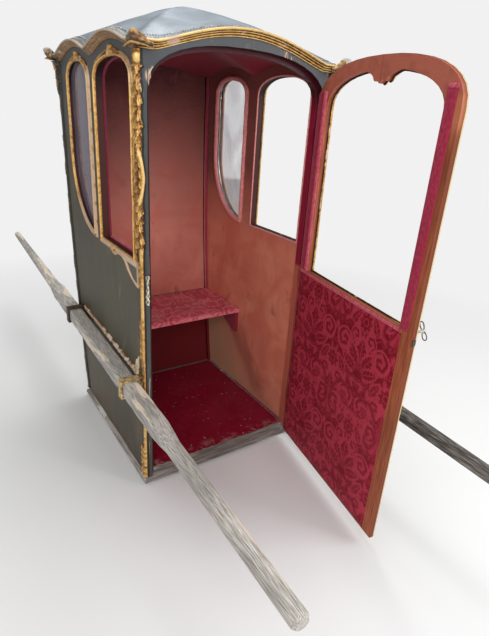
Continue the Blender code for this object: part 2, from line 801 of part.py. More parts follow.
def build_corner_strips():
    """Carved strips that wrap the corners from foot to cornice: full ones in front, slim ones at the back."""
    for end, name, side in (
        ("front", "left", -1),
        ("front", "right", 1),
        ("rear", "left", -1),
        ("rear", "right", 1),
    ):
        top = CORNICE_DIP - CORNICE_HEIGHT - 2 * GAP
        front = end == "front"
        rings = []
        for z in heights(STRIP_FOOT, top, STRIP_STATIONS if front else REAR_STRIP_STATIONS):
            console = max(0.0, 1.0 - (top - z) / (top - CONSOLE_FOOT))
            narrow = strip_narrowing(z) if front else 1.0
            full = ease(max(STRIP_SLIM_FOOT - z, z - STRIP_SLIM_TOP) / STRIP_SLIM_RUN) if front else 0.0
            leg = (STRIP_LEG if front else REAR_STRIP_LEG) - STRIP_WAVE * narrow * (1.0 - console) / 2
            reach = STRIP_SIDE_LEG - STRIP_WAVE * narrow + CONSOLE_SPREAD * console
            base = STRIP_THICKNESS - STRIP_RELIEF * narrow if front else REAR_STRIP_THICKNESS
            thick = base + STRIP_FULLNESS * full + CONSOLE_BULGE * console * (1.0 - full)
            into = 1 if end == "front" else -1
            edge_y = FRONT_Y if end == "front" else back_y(z)
            start_x = side * (HALF_WIDTH + GAP)
            start_y = edge_y - into * GAP
            rings.append(
                [
                    (start_x - side * leg, start_y, z),
                    (start_x - side * leg, start_y - into * thick * 0.7, z),
                    (start_x - side * leg * 0.4, start_y - into * thick, z),
                    (start_x + side * thick * 0.7, start_y - into * thick * 0.7, z),
                    (start_x + side * thick, start_y + into * reach * 0.4, z),
                    (start_x + side * thick * 0.7, start_y + into * reach, z),
                    (start_x, start_y + into * reach, z),
                    (start_x, start_y, z),
                ]
            )
        loft(f"corner_strip_{end}_{name}", rings, "gilding")


def build_window_mouldings():
    for name, side in (("left", -1), ("right", 1)):
        face = side * (HALF_WIDTH + GAP)
        low, high = sorted((face, face + side * MOULDING_DEPTH))
        middle = (WINDOW_MULLION_BACK + WINDOW_REAR_Y) / 2
        rear_edge = grown(window_rear(), MOULDING_WIDTH - MOULDING_LAP)
        rear_edge = crested(rear_edge, middle, 1, CREST_RISE, CREST_HALF)
        for place, outer, opening in (
            ("front", front_moulding_outline(), window_front()),
            ("rear", rear_edge, window_rear()),
        ):
            inner = grown(opening, -MOULDING_LAP)
            plate_yz(f"window_moulding_{place}_{name}", [outer, inner], low, high, "gilding")
        middle_x = side * (HALF_WIDTH - SIDE_THICKNESS / 2)
        low, high = middle_x - GLASS_THICKNESS / 2, middle_x + GLASS_THICKNESS / 2
        plate_yz("rear_glass_" + name, [grown(window_rear(), -GAP)], low, high, "old_glass")


def tilted(obj):
    """Turns a piece of the pole gear about the cross axis through the poles' middle."""
    obj.parent = bpy.data.objects["pole_line"]
    return obj


def pole_ring(size, power, y, side):
    ring = []
    for i in range(16):
        angle = 2 * math.pi * i / 16 + math.pi / 16
        across = math.copysign(abs(math.cos(angle)) ** (2 / power), math.cos(angle))
        up = math.copysign(abs(math.sin(angle)) ** (2 / power), math.sin(angle))
        ring.append((side * POLE_X + size / 2 * across, y, size / 2 * up))
    return ring


def build_poles():
    line = bpy.data.objects.new("pole_line", None)
    line.location = (0.0, 0.0, POLE_Z)
    line.rotation_euler = (math.radians(POLE_RISE_DEG), 0.0, 0.0)
    PARTS.objects.link(line)
    square, round_ = 9.0, 2.0
    nose = 0.010
    stations = (
        (POLE_FRONT_Y, POLE_ROUND - 0.014, round_),
        (POLE_FRONT_Y + nose, POLE_ROUND, round_),
        (POLE_SHOULDER_FRONT - POLE_SHOULDER_RUN, POLE_ROUND + 0.002, round_),
        (POLE_SHOULDER_FRONT, POLE_SQUARE, square),
        (POLE_SHOULDER_REAR, POLE_SQUARE, square),
        (POLE_SHOULDER_REAR + POLE_SHOULDER_RUN, POLE_ROUND + 0.002, round_),
        (POLE_REAR_Y - nose, POLE_TIP, round_),
        (POLE_REAR_Y, POLE_TIP - 0.012, round_),
    )
    hole = POLE_SQUARE / 2 + STAPLE_CLEARANCE
    rest = POLE_SQUARE / 2 + GAP
    outer = hole + STAPLE_THICKNESS
    lower = rest + STAPLE_THICKNESS
    for name, side in (("left", -1), ("right", 1)):
        rings = [pole_ring(size, power, y, side) for y, size, power in stations]
        tilted(loft("pole_" + name, rings, "pole_wood"))
        wall = HALF_WIDTH + GAP
        for place, y in (("front", STAPLE_FRONT_Y), ("rear", STAPLE_REAR_Y)):
            ring = [
                (side * wall, -lower),
                (side * (POLE_X + outer), -lower),
                (side * (POLE_X + outer), outer),
                (side * wall, outer),
            ]
            gap = [
                (side * (POLE_X - hole), -rest),
                (side * (POLE_X + hole), -rest),
                (side * (POLE_X + hole), hole),
                (side * (POLE_X - hole), hole),
            ]
            half = STAPLE_WIDTH / 2
            tilted(plate_xz(f"staple_{place}_{name}", [ring, gap], y - half, y + half, "iron"))
        start = STAPLE_FRONT_Y + STAPLE_WIDTH / 2 + GAP
        stop = STAPLE_REAR_Y - STAPLE_WIDTH / 2 - GAP
        base = outer - RAIL_HEIGHT / 2
        strip = [(start, base), (stop, base), (stop, base + RAIL_HEIGHT)]
        strip += [(start + 0.030, base + RAIL_HEIGHT), (start + 0.014, base + RAIL_LEAF * 0.6)]
        strip += [(start, base + RAIL_LEAF)]
        low, high = sorted((side * wall, side * (wall + RAIL_DEPTH)))
        tilted(plate_yz("pole_rail_" + name, [strip], low, high, "gilding"))


def build_seat():
    under = SEAT_TOP - SEAT_THICKNESS
    wall = HALF_WIDTH - SIDE_THICKNESS - GAP
    post_inner = HALF_WIDTH - REAR_POST_WIDTH - GAP
    notch = back_y(under) - REAR_POST_DEPTH - GAP
    rear = back_y(under) - BACK_INSET - BACK_THICKNESS - GAP
    half = [(wall, SEAT_FRONT_Y), (wall, notch), (post_inner, notch), (post_inner, rear)]
    outline = half + [(-x, y) for x, y in reversed(half)]
    plate_xy("seat_board", [outline], under, SEAT_TOP, "crimson_damask")
    for name, side in (("left", -1), ("right", 1)):
        top = under - GAP
        shape = [
            (SEAT_FRONT_Y + 0.004, top),
            (SEAT_FRONT_Y + 0.004, top - CLEAT_DROP),
            (SEAT_FRONT_Y + CLEAT_LENGTH, top - 0.020),
            (SEAT_FRONT_Y + CLEAT_LENGTH, top),
        ]
        low, high = sorted((side * wall, side * (wall - CLEAT_THICKNESS)))
        plate_yz("seat_cleat_" + name, [shape], low, high, "faded_silk")


def knuckle(name, z, side, finish):
    """Half a hinge: a barrel on the hinge line with a short leaf to the post or to the door."""
    axis_x = (OPENING_HALF + OPENING_HALF - DOOR_CLEARANCE) / 2
    axis_y = FRONT_Y - HINGE_OUT
    shape = bmesh.new()
    bmesh.ops.create_cone(
        shape,
        cap_ends=True,
        segments=16,
        radius1=KNUCKLE_RADIUS,
        radius2=KNUCKLE_RADIUS,
        depth=KNUCKLE_HEIGHT,
    )
    bmesh.ops.translate(shape, vec=(axis_x, axis_y, z), verts=shape.verts)
    barrel = mesh_object(name, shape, finish)
    near, far = sorted((axis_x, axis_x + side * KNUCKLE_LEAF))
    leaf = box(
        name + "_leaf",
        (near, axis_y + KNUCKLE_RADIUS * 0.3, z - KNUCKLE_HEIGHT / 2 + 0.001),
        (far, FRONT_Y - GAP, z + KNUCKLE_HEIGHT / 2 - 0.001),
        finish,
    )
    return combine(barrel, leaf, "UNION")


def door_window():
    """The door's window, plain, anticlockwise in X and Z."""
    half = OPENING_HALF - DOOR_CLEARANCE - DOOR_STILE
    top = arch(half, DOOR_WINDOW_SPRING, DOOR_WINDOW_RISE, WINDOW_POWER)
    return [(-half, DOOR_SILL), (half, DOOR_SILL)] + top


def door_crest(x):
    """How far the carved crest hangs below the window's arch."""
    swell = DOOR_CREST_DROP * ease(1.0 - abs(x) / DOOR_CREST_HALF)
    inside = ease((DOOR_LOBES * DOOR_LOBE_PITCH / 2 - abs(x)) / (DOOR_LOBE_PITCH / 4))
    lobe = 0.5 + 0.5 * math.cos(2 * math.pi * x / DOOR_LOBE_PITCH)
    return swell + DOOR_LOBE_DROP * inside * lobe


def door_opening():
    """The door's window with the crest that hangs from its arch."""
    half = OPENING_HALF - DOOR_CLEARANCE - DOOR_STILE
    outline = []
    for x, z in door_window():
        if z <= DOOR_WINDOW_SPRING or abs(x) > DOOR_CREST_HALF:
            outline.append((x, z))
        elif not outline or abs(outline[-1][0]) > DOOR_CREST_HALF:
            for place in reversed(heights(-DOOR_CREST_HALF, DOOR_CREST_HALF, DOOR_CREST_STEPS)):
                up = (1.0 - (abs(place) / half) ** WINDOW_POWER) ** (1.0 / WINDOW_POWER)
                crest = DOOR_WINDOW_SPRING + DOOR_WINDOW_RISE * up - door_crest(place)
                outline.append((place, crest))
    return outline


def build_door():
    half = OPENING_HALF - DOOR_CLEARANCE
    swing = bpy.data.objects.new("door_hinge_line", None)
    hinge_x = OPENING_HALF - DOOR_CLEARANCE / 2
    swing.location = (hinge_x, FRONT_Y - HINGE_OUT, 0.0)
    PARTS.objects.link(swing)
    bpy.context.view_layer.update()
    pieces = []
    outline = [(-half, DOOR_FOOT), (half, DOOR_FOOT)]
    outline += arch(half, ARCH_SPRING, ARCH_RISE - DOOR_CLEARANCE, ARCH_POWER)
    inner = half - DOOR_STILE
    panel_low = DOOR_FOOT + DOOR_BOTTOM_RAIL
    panel_high = DOOR_SILL - DOOR_MID_RAIL
    field = [(-inner, panel_low), (inner, panel_low), (inner, panel_high), (-inner, panel_high)]
    back = FRONT_Y + DOOR_THICKNESS
    pieces.append(
        plate_xz("door_frame", [outline, door_opening(), field], FRONT_Y, back, "door_wood")
    )
    pieces.append(
        box(
            "door_panel",
            (-inner + GAP, back - DOOR_PANEL_THICKNESS, panel_low + GAP),
            (inner - GAP, back, panel_high - GAP),
            "crimson_damask",
        )
    )
    face = FRONT_Y - GAP
    ring_outer = grown(door_window(), MOULDING_WIDTH - MOULDING_LAP)
    ring_inner = grown(door_opening(), -MOULDING_LAP)
    pieces.append(
        plate_xz(
            "door_window_moulding", [ring_outer, ring_inner], face - MOULDING_DEPTH, face, "gilding"
        )
    )
    pieces.append(
        plate_xz(
            "door_panel_moulding",
            [grown(field, MOULDING_WIDTH), grown(field, -MOULDING_LAP)],
            face - MOULDING_DEPTH,
            face,
            "gilding",
        )
    )
    for index, z in enumerate(HINGE_HEIGHTS):
        offset = KNUCKLE_HEIGHT / 2 + GAP / 2
        knuckle(f"hinge_frame_{index + 1}", z + offset, 1, "iron")
        pieces.append(knuckle(f"hinge_door_{index + 1}", z - offset, -1, "iron"))
    pieces.append(build_handle(half))
    bolt_y = FRONT_Y + DOOR_THICKNESS / 2
    pieces.append(
        box(
            "latch_bolt",
            (-half - 0.003, bolt_y - 0.005, BOLT_Z - 0.009),
            (-half - GAP, bolt_y + 0.005, BOLT_Z + 0.009),
            "steel",
        )
    )
    for piece in pieces:
        members = [piece] + [step.object for step in piece.modifiers if step.type == "BOOLEAN"]
        for member in members:
            member.parent = swing
            member.matrix_parent_inverse = swing.matrix_world.inverted()
    swing.rotation_euler = (0.0, 0.0, math.radians(DOOR_OPEN_DEG))


def build_handle(half):
    """A turned spindle that carries a pierced double-lobed lever on the door's outer face."""
    x = -half + HANDLE_IN
    start = FRONT_Y - GAP
    shape = bmesh.new()
    bmesh.ops.create_cone(
        shape,
        cap_ends=True,
        segments=12,
        radius1=SPINDLE_RADIUS,
        radius2=SPINDLE_RADIUS,
        depth=SPINDLE_LENGTH,
    )
    spindle = mesh_object("door_handle", shape, "steel")
    for vertex in spindle.data.vertices:
        along, up = vertex.co.z, vertex.co.y
        vertex.co = (x + vertex.co.x, start - SPINDLE_LENGTH / 2 - along, HANDLE_Z + up)
    spindle.data.flip_normals()
    lobe = 0.013
    outline = []
    for i in range(40):
        angle = 2 * math.pi * i / 40
        reach = 0.007 + (2 * lobe - 0.006) * math.cos(angle) ** 2
        outline.append((x + reach * math.cos(angle + 1.0), HANDLE_Z + reach * math.sin(angle + 1.0)))
    holes = []
    for sign in (-1, 1):
        centre = (x + sign * lobe * math.cos(1.0), HANDLE_Z + sign * lobe * math.sin(1.0))
        ring = [2 * math.pi * i / 12 for i in range(12)]
        holes.append(
            [(centre[0] + 0.004 * math.cos(a), centre[1] + 0.004 * math.sin(a)) for a in ring]
        )
    end = start - SPINDLE_LENGTH
    lever = as_mesh(
        plate_xz("handle_lever", [outline] + holes, end + 0.001 - LEVER_THICKNESS, end + 0.001, "steel")
    )
    return combine(spindle, lever, "UNION")


def main():
    clear_scene()
    scene = bpy.context.scene
    scene.collection.children.link(PARTS)
    scene.collection.children.link(CUTTERS)
    CUTTERS.hide_render = True
    build_base()
    build_posts()
    build_back()
    build_header()
    build_sides()
    build_cornice()
    build_roof()
    build_hoods()
    build_corner_strips()
    build_window_mouldings()
    build_poles()
    build_seat()
    build_door()


if __name__ == "__main__":
    main()
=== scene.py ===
"""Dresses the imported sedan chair: carved gilding, painted panels, damask, silk, weathered poles.

Metres, +Z up, the front faces -Y. The door's pieces are built as if it were shut and then turned open.
"""

import logging
import math
from dataclasses import dataclass
from enum import Enum
from typing import Sequence

import bmesh
import bpy
import numpy as np
from mathutils import Matrix, Vector


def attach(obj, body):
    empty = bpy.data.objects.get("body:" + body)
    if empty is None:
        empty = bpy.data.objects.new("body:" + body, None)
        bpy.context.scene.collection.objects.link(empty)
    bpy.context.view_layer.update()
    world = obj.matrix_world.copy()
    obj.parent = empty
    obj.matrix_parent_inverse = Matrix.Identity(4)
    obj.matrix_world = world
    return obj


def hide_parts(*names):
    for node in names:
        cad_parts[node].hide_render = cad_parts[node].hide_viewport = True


log = logging.getLogger("sedan_chair")

Socket, Material, Piece = bpy.types.NodeSocket, bpy.types.Material, bpy.types.Object
Place, Point = tuple[float, float], tuple[float, float, float]
Colour = str

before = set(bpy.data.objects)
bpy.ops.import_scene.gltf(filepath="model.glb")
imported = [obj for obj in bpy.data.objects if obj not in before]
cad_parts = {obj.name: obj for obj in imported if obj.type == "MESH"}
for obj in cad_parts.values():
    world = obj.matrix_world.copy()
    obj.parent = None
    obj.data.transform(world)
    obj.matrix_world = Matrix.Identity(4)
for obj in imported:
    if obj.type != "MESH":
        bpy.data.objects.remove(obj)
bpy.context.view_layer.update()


class Side(Enum):
    """The two sides of the chair."""

    LEFT = -1
    RIGHT = 1

    @property
    def word(self) -> str:
        """The side's word in node names."""
        return self.name.lower()


class End(Enum):
    """The two ends of the chair."""

    FRONT = 1
    REAR = -1

    @property
    def word(self) -> str:
        """The end's word in node names."""
        return self.name.lower()


@dataclass(frozen=True)
class Cabin:
    """The cabin's outer sizes that its dressing keeps to."""

    half_width: float = 0.352
    front_y: float = -0.3665
    back_foot_y: float = 0.3665
    back_rake: float = 0.119
    rake_height: float = 1.35
    side_thickness: float = 0.026
    gap: float = 0.0003
    cornice_dip: float = 1.53
    floor_top: float = 0.05
    seat_top: float = 0.465
    seat_front_y: float = 0.0735

    def back_y(self, z: float) -> float:
        """Returns the outer face of the leaning back at a height."""
        share = min(max(z / self.rake_height, 0.0), 1.0)
        return self.back_foot_y + self.back_rake * (1.0 - (1.0 - share) ** 2)

    def end_y(self, end: End, z: float) -> float:
        """Returns the outer face of the front or the back at a height."""
        return self.front_y if end is End.FRONT else self.back_y(z)


CABIN = Cabin()
DOOR_OPEN = math.radians(79.5)
DOOR_HINGE = (0.3295, -0.3755, 0.0)


def linear(colour: Colour) -> Point:
    """Turns a display colour into scene-linear red, green and blue."""
    shares = [int(colour[i : i + 2], 16) / 255 for i in (0, 2, 4)]
    return tuple(s / 12.92 if s <= 0.04045 else ((s + 0.055) / 1.055) ** 2.4 for s in shares)


def held(value: np.ndarray | float) -> np.ndarray | float:
    """Returns a share held to 0 and 1."""
    return np.clip(value, 0.0, 1.0)


def ease(value: np.ndarray | float) -> np.ndarray | float:
    """Returns a smooth step of a share, held to 0 and 1 outside its range."""
    share = held(value)
    return share * share * (3.0 - 2.0 * share)


def bell(off: np.ndarray | float, width: float = 1.0) -> np.ndarray | float:
    """Returns a smooth hump: 1 where off is 0, dying away over a width."""
    return np.exp(-((off / width) ** 2))


def joined(*parts: np.ndarray | float) -> np.ndarray:
    """Returns points from their coordinates, each stretched to the widest one's shape."""
    return np.stack(np.broadcast_arrays(*parts), -1)


def run_of(line: np.ndarray) -> np.ndarray:
    """Returns the length along a row of points, from 0 at the first."""
    return np.concatenate([[0.0], np.cumsum(np.linalg.norm(np.diff(line, axis=0), axis=1))])


def placed(name: str, data: bpy.types.ID) -> Piece:
    """Returns a new object for some data, linked to the scene."""
    made = bpy.data.objects.new(name, data)
    bpy.context.scene.collection.objects.link(made)
    return made


def plain_mesh(piece: Piece) -> bpy.types.Mesh:
    """Returns what an object with modifiers or curves looks like as a mesh, and removes the object."""
    graph = bpy.context.evaluated_depsgraph_get()
    mesh = bpy.data.meshes.new_from_object(piece.evaluated_get(graph))
    bpy.data.objects.remove(piece, do_unlink=True)
    return mesh


class Nodes:
    """A node tree while it is being written."""

    def __init__(self, tree: bpy.types.NodeTree, family: str = "ShaderNode") -> None:
        """Takes a tree and the word that its nodes' types start with."""
        self.tree, self.family = tree, family

    def feed(self, socket: Socket, value: object) -> None:
        """Sets a socket to a value, or links it where the value is another socket.

        Args:
            socket: The socket.
            value: Its value, or the socket that drives it.
        """
        if isinstance(value, Socket):
            self.tree.links.new(value, socket)
        elif socket.type == "RGBA":
            socket.default_value = (*(linear(value) if isinstance(value, str) else value), 1.0)
        else:
            socket.default_value = value

    def add(self, kind: str, inputs: dict[str | int, object], **options: object) -> bpy.types.Node:
        """Adds a node.

        Args:
            kind: Its type, without the family's word.
            inputs: Values or sockets, by the name or place of the input.
            options: The node's own options.

        Returns:
            The node.
        """
        node = self.tree.nodes.new(self.family + kind)
        for name, value in options.items():
            setattr(node, name, value)
        for key, value in inputs.items():
            self.feed(node.inputs[key], value)
        return node


class Shader(Nodes):
    """A material's node tree while it is being written."""

    def __init__(self, name: str) -> None:
        """Starts a material with an empty Principled surface."""
        self.material = bpy.data.materials.new(name)
        self.material.use_nodes = True
        super().__init__(self.material.node_tree)
        self.surface = self.tree.nodes["Principled BSDF"]
        self.place = self.add("TexCoord", {}).outputs["Object"]

    def set(self, **inputs: object) -> None:
        """Sets the surface's own inputs, named with underscores for spaces."""
        for name, value in inputs.items():
            self.feed(self.surface.inputs[name.replace("_", " ")], value)

    def stretched(self, scale: Point) -> Socket:
        """Returns the object coordinates, stretched along each axis."""
        return self.add("VectorMath", {0: self.place, 1: scale}, operation="MULTIPLY").outputs[0]

    def noise(
        self, scale: float, stretch: Point = (1, 1, 1), detail: float = 4.0, twist: float = 0.0
    ) -> Socket:
        """Returns a cloudy value.

        Args:
            scale: Features per metre.
            stretch: Factors along the three axes; a small one draws the clouds out.
            detail: Octaves of finer noise.
            twist: Distortion.

        Returns:
            The noise value's socket.
        """
        inputs = {"Vector": self.stretched(stretch), "Scale": scale, "Detail": detail, "Distortion": twist}
        return self.add("TexNoise", inputs).outputs["Fac"]

    def cracks(self, scale: float) -> Socket:
        """Returns the distance to the nearest edge of a crazed surface."""
        inputs = {"Vector": self.stretched((1, 1, 1)), "Scale": scale}
        return self.add("TexVoronoi", inputs, feature="DISTANCE_TO_EDGE").outputs["Distance"]

    def attribute(self, name: str) -> Socket:
        """Returns a number stored on the mesh."""
        return self.add("Attribute", {}, attribute_name=name).outputs["Fac"]

    def axis(self, index: int) -> Socket:
        """Returns one of the object coordinates."""
        return self.add("SeparateXYZ", {0: self.place}).outputs[index]

    def band(self, value: Socket, low: float, high: float, start: float = 0.0, stop: float = 1.0) -> Socket:
        """Maps a value's range onto another, held at both ends."""
        inputs = {"Value": value, "From Min": low, "From Max": high, "To Min": start, "To Max": stop}
        return self.add("MapRange", inputs).outputs["Result"]

    def math(self, operation: str, first: object, second: object) -> Socket:
        """Returns a sum, product or other result of two values."""
        return self.add("Math", {0: first, 1: second}, operation=operation).outputs[0]

    def times(self, first: object, second: object) -> Socket:
        """Returns the product of two values."""
        return self.math("MULTIPLY", first, second)

    def mix(self, share: object, first: object, second: object) -> Socket:
        """Returns a colour between two, by a share of the second."""
        return self.add("Mix", {0: share, 6: first, 7: second}, data_type="RGBA").outputs[2]

    def tint(
        self, tone: object, colour: object, value: Socket, low: float, high: float, most: float = 1.0
    ) -> Socket:
        """Returns a tone with a colour laid over it, from low to high of a value and up to a share."""
        return self.mix(self.band(value, low, high, 0.0, most), tone, colour)

    def ramp(self, value: Socket, *stops: tuple[float, Colour]) -> Socket:
        """Reads a colour from a ramp.

        Args:
            value: What it is read with.
            stops: Place and colour of each stop.

        Returns:
            The colour.
        """
        node = self.add("ValToRGB", {0: value})
        elements = node.color_ramp.elements
        while len(elements) < len(stops):
            elements.new(0.5)
        for element, (place, colour) in zip(elements, stops):
            element.position = place
            element.color = (*linear(colour), 1.0)
        return node.outputs[0]

    def bump(self, height: Socket, strength: float, distance: float) -> None:
        """Adds a relief to the surface's normal, over any that is there."""
        node = self.add("Bump", {"Strength": strength, "Distance": distance, "Height": height})
        links = self.surface.inputs["Normal"].links
        if links:
            self.feed(node.inputs["Normal"], links[0].from_socket)
        self.feed(self.surface.inputs["Normal"], node.outputs["Normal"])


@dataclass(frozen=True)
class Paint:
    """Old oil paint on panels, streaked, scratched and crazed, with a painted bluish sheen towards the top
    and painted shade at the top of any lined reveals.
    """

    name: str
    base: Colour
    light: Colour
    upper: Colour
    scratch: Colour = "968a76"
    scratch_share: float = 0.22
    stain: Colour = "604e3a"
    inside: Colour | None = None
    shaded_inside_top: Colour = "3c0a14"
    inside_low: Colour | None = None
    inside_left: Colour | None = None
    inside_x: float = 0.3505
    inside_y: float = -0.366
    spot: Point | None = None

    def build(self) -> Material:
        """Builds the material.

        Returns:
            The material.
        """
        sheet = Shader(self.name)
        clouds = sheet.noise(3.0, (1.4, 1.4, 0.8), 6.0, 0.4)
        streaks = sheet.noise(26.0, (1, 1, 0.06), 5.0)
        tone = sheet.tint(self.base, self.light, clouds, 0.35, 0.7)
        tone = sheet.tint(tone, self.light, streaks, 0.5, 0.75, 0.35)
        # Painted sheen: towards the top the tone turns to the bluish upper colour, a reflection put into the
        # colour.
        tone = sheet.tint(tone, self.upper, sheet.axis(2), 1.05, 1.5)
        stains = sheet.noise(11.0, (1, 1, 0.55), 7.0, 0.6)
        low = sheet.band(sheet.axis(2), 0.62, 0.2, 0.12, 0.65)
        tone = sheet.mix(sheet.times(sheet.band(stains, 0.42, 0.66), low), tone, self.stain)
        specks = sheet.noise(210.0, (1, 1, 0.8), 3.0)
        tone = sheet.tint(tone, self.scratch, specks, 0.7, 0.74, 0.5)
        lines = sheet.noise(46.0, (2.2, 1.0, 0.16), 7.0, 1.2)
        patch = sheet.band(sheet.noise(4.2, (1, 1, 1), 3.0), 0.52, 0.62)
        marks = sheet.times(sheet.band(lines, 0.605, 0.62), patch)
        marks = sheet.times(marks, self.scratch_share)
        tone = sheet.mix(marks, tone, self.scratch)
        if self.inside:
            away = sheet.math("ABSOLUTE", sheet.axis(0), 0.0)
            deep = sheet.band(away, self.inside_x, self.inside_x - 0.0004)
            deep = sheet.times(deep, sheet.band(sheet.axis(1), self.inside_y, self.inside_y + 0.0003))
            # Painted shade: the lining darkens towards the top, under the heads of the openings.
            lining = sheet.tint(self.inside, self.shaded_inside_top, sheet.axis(2), 1.36, 1.44)
            if self.inside_low:
                lining = sheet.tint(lining, self.inside_low, sheet.axis(2), 0.812, 0.8)
            if self.inside_left:
                lining = sheet.tint(lining, self.inside_left, sheet.axis(0), -0.28, -0.3)
            tone = sheet.mix(deep, tone, lining)
        if self.spot:
            near = sheet.add("VectorMath", {0: sheet.place, 1: self.spot}, operation="DISTANCE")
            near = near.outputs["Value"]
            ragged = sheet.math("ADD", near, sheet.band(lines, 0.3, 0.7, -0.014, 0.014))
            tone = sheet.tint(tone, self.scratch, ragged, 0.021, 0.015)
        sheet.set(Base_Color=tone, Roughness=sheet.band(clouds, 0.3, 0.8, 0.44, 0.62), Specular_IOR_Level=0.3)
        sheet.bump(sheet.band(sheet.cracks(95.0), 0.0, 0.05), 0.07, 0.0006)
        sheet.bump(sheet.noise(14.0, (1, 1, 0.3), 6.0), 0.14, 0.003)
        return sheet.material


@dataclass(frozen=True)
class Gilt:
    """Water gilding over red clay and gesso, toned by its relief: dark in the hollows, with dirt and painted
    shade, and bright on what stands proud, a painted highlight.
    """

    name: str
    deep: Colour = "3a2210"
    low: Colour = "845628"
    middle: Colour = "c69248"
    high: Colour = "ecc882"
    gesso: Colour = "d6b696"
    field: Colour = "4c483c"
    worn: float = 0.64
    metal: float = 0.45

    def build(self) -> Material:
        """Builds the material.

        Returns:
            The material.
        """
        sheet = Shader(self.name)
        relief = sheet.attribute("relief")
        mottle = sheet.noise(90.0, (1, 1, 1), 6.0, 0.5)
        value = sheet.math("ADD", relief, sheet.band(mottle, 0.3, 0.7, -0.22, 0.22))
        # The relief ramp paints shade into the hollows, over their dirt, and a highlight onto the proud
        # parts.
        tone = sheet.ramp(value, (0.0, self.deep), (0.28, self.low), (0.55, self.middle), (0.95, self.high))
        rubbed = sheet.band(sheet.noise(22.0, (1, 1, 0.5), 6.0, 0.6), self.worn, self.worn + 0.03)
        rubbed = sheet.math("MAXIMUM", rubbed, sheet.attribute("bare"))
        tone = sheet.mix(rubbed, tone, self.gesso)
        dirt = sheet.band(sheet.noise(240.0, (1, 1, 1), 3.0), 0.64, 0.7, 0.0, 0.75)
        tone = sheet.mix(dirt, tone, self.deep)
        tone = sheet.mix(sheet.attribute("field"), tone, self.field)
        metal = sheet.times(sheet.band(rubbed, 0.0, 1.0, 1.0, 0.0), self.metal)
        sheet.set(Base_Color=tone, Metallic=metal, Roughness=sheet.band(mottle, 0.3, 0.7, 0.34, 0.55))
        sheet.bump(sheet.noise(320.0, (1, 1, 1), 4.0), 0.25, 0.0008)
        return sheet.material


@dataclass(frozen=True)
class Wood:
    """Wood with its grain along one axis, greyed or stained, and patches worn to a lighter tone."""

    name: str
    grain: Point
    dark: Colour
    middle: Colour
    light: Colour
    patch: Colour
    patch_level: float = 0.62
    roughness: float = 0.7
    relief: float = 0.35
    fine: float = 150.0

    def build(self) -> Material:
        """Builds the material.

        Returns:
            The material.
        """
        sheet = Shader(self.name)
        fibres = sheet.noise(self.fine, self.grain, 8.0, 0.12)
        clouds = sheet.noise(9.0, tuple(0.4 + 0.6 * g for g in self.grain), 5.0)
        tone = sheet.ramp(fibres, (0.3, self.dark), (0.5, self.middle), (0.68, self.light))
        tone = sheet.tint(tone, self.dark, clouds, 0.42, 0.64, 0.45)
        worn = sheet.noise(21.0, tuple(0.12 + 0.88 * g for g in self.grain), 7.0, 0.3)
        bare = sheet.band(worn, self.patch_level, self.patch_level + 0.03)
        tone = sheet.mix(bare, tone, self.patch)
        split = tuple(0.02 + 0.98 * g for g in self.grain)
        pits = sheet.band(sheet.noise(self.fine * 0.7, split, 4.0), 0.6, 0.66, 0.0, 0.7)
        tone = sheet.mix(pits, tone, self.dark)
        sheet.set(Base_Color=tone, Roughness=self.roughness, Specular_IOR_Level=0.35)
        sheet.bump(fibres, self.relief, 0.0015)
        sheet.bump(sheet.band(bare, 0.0, 1.0, 1.0, 0.0), 0.35, 0.001)
        return sheet.material


@dataclass(frozen=True)
class DoorTimber:
    """The door's frame: worn stiles, a cloth-covered arch, gilt edge and painted outer face."""

    name: str = "door frame timber"
    wood: Colour = "a05234"
    dark: Colour = "68321e"
    patch: Colour = "c67a56"
    edge: Colour = "70381e"
    cloth: Colour = "a85642"
    cloth_light: Colour = "b86a56"
    outline: Colour = "46221a"
    gold: Colour = "debe82"
    paint: Colour = "46443c"

    def build(self) -> Material:
        """Builds the material, drawn on the shut door's own coordinates.

        Returns:
            The material.
        """
        sheet = Shader(self.name)
        shut = {"Vector": sheet.place, "Center": DOOR_HINGE, "Angle": -DOOR_OPEN}
        sheet.place = sheet.add("VectorRotate", shut, rotation_type="Z_AXIS").outputs[0]
        x, y, z = (sheet.axis(k) for k in range(3))
        fibres = sheet.noise(300.0, (1, 1, 0.04), 6.0, 0.3)
        tone = sheet.ramp(fibres, (0.2, self.dark), (0.5, self.wood), (0.85, self.patch))
        drift = sheet.noise(6.0, (1, 1, 0.5), 4.0)
        tone = sheet.tint(tone, self.dark, drift, 0.5, 0.7, 0.5)
        near = sheet.times(sheet.band(z, 1.34, 1.37), sheet.band(x, -0.28, -0.3))
        tone = sheet.mix(sheet.times(near, 0.7), tone, self.patch)
        outer = sheet.times(sheet.band(x, -0.3255, -0.3268), sheet.band(z, 1.36, 1.33))
        tone = sheet.mix(sheet.times(outer, 0.72), tone, self.edge)
        weave = sheet.noise(620.0, (1, 1, 0.4), 2.0)
        clouds = sheet.noise(22.0, (1, 1, 1), 6.0)
        cloth = sheet.tint(self.cloth, self.cloth_light, weave, 0.35, 0.65)
        cloth = sheet.tint(cloth, self.dark, clouds, 0.5, 0.7, 0.3)
        seam = sheet.band(sheet.math("ABSOLUTE", x, 0.0), 0.0014, 0.0004)
        cloth = sheet.mix(sheet.times(seam, 0.7), cloth, self.outline)
        tone = sheet.tint(tone, cloth, z, 1.425, 1.44)
        thick = sheet.band(y, -0.35, -0.364)
        tone = sheet.mix(sheet.times(thick, 0.85), tone, self.dark)
        seam = sheet.band(y, -0.3628, -0.3632)
        tone = sheet.mix(seam, tone, sheet.mix(sheet.band(x, -0.2, -0.25), self.outline, self.gold))
        tone = sheet.tint(tone, self.paint, y, -0.366, -0.3664)
        sheet.set(Base_Color=tone, Roughness=0.62, Specular_IOR_Level=0.3)
        sheet.bump(fibres, 0.12, 0.001)
        return sheet.material


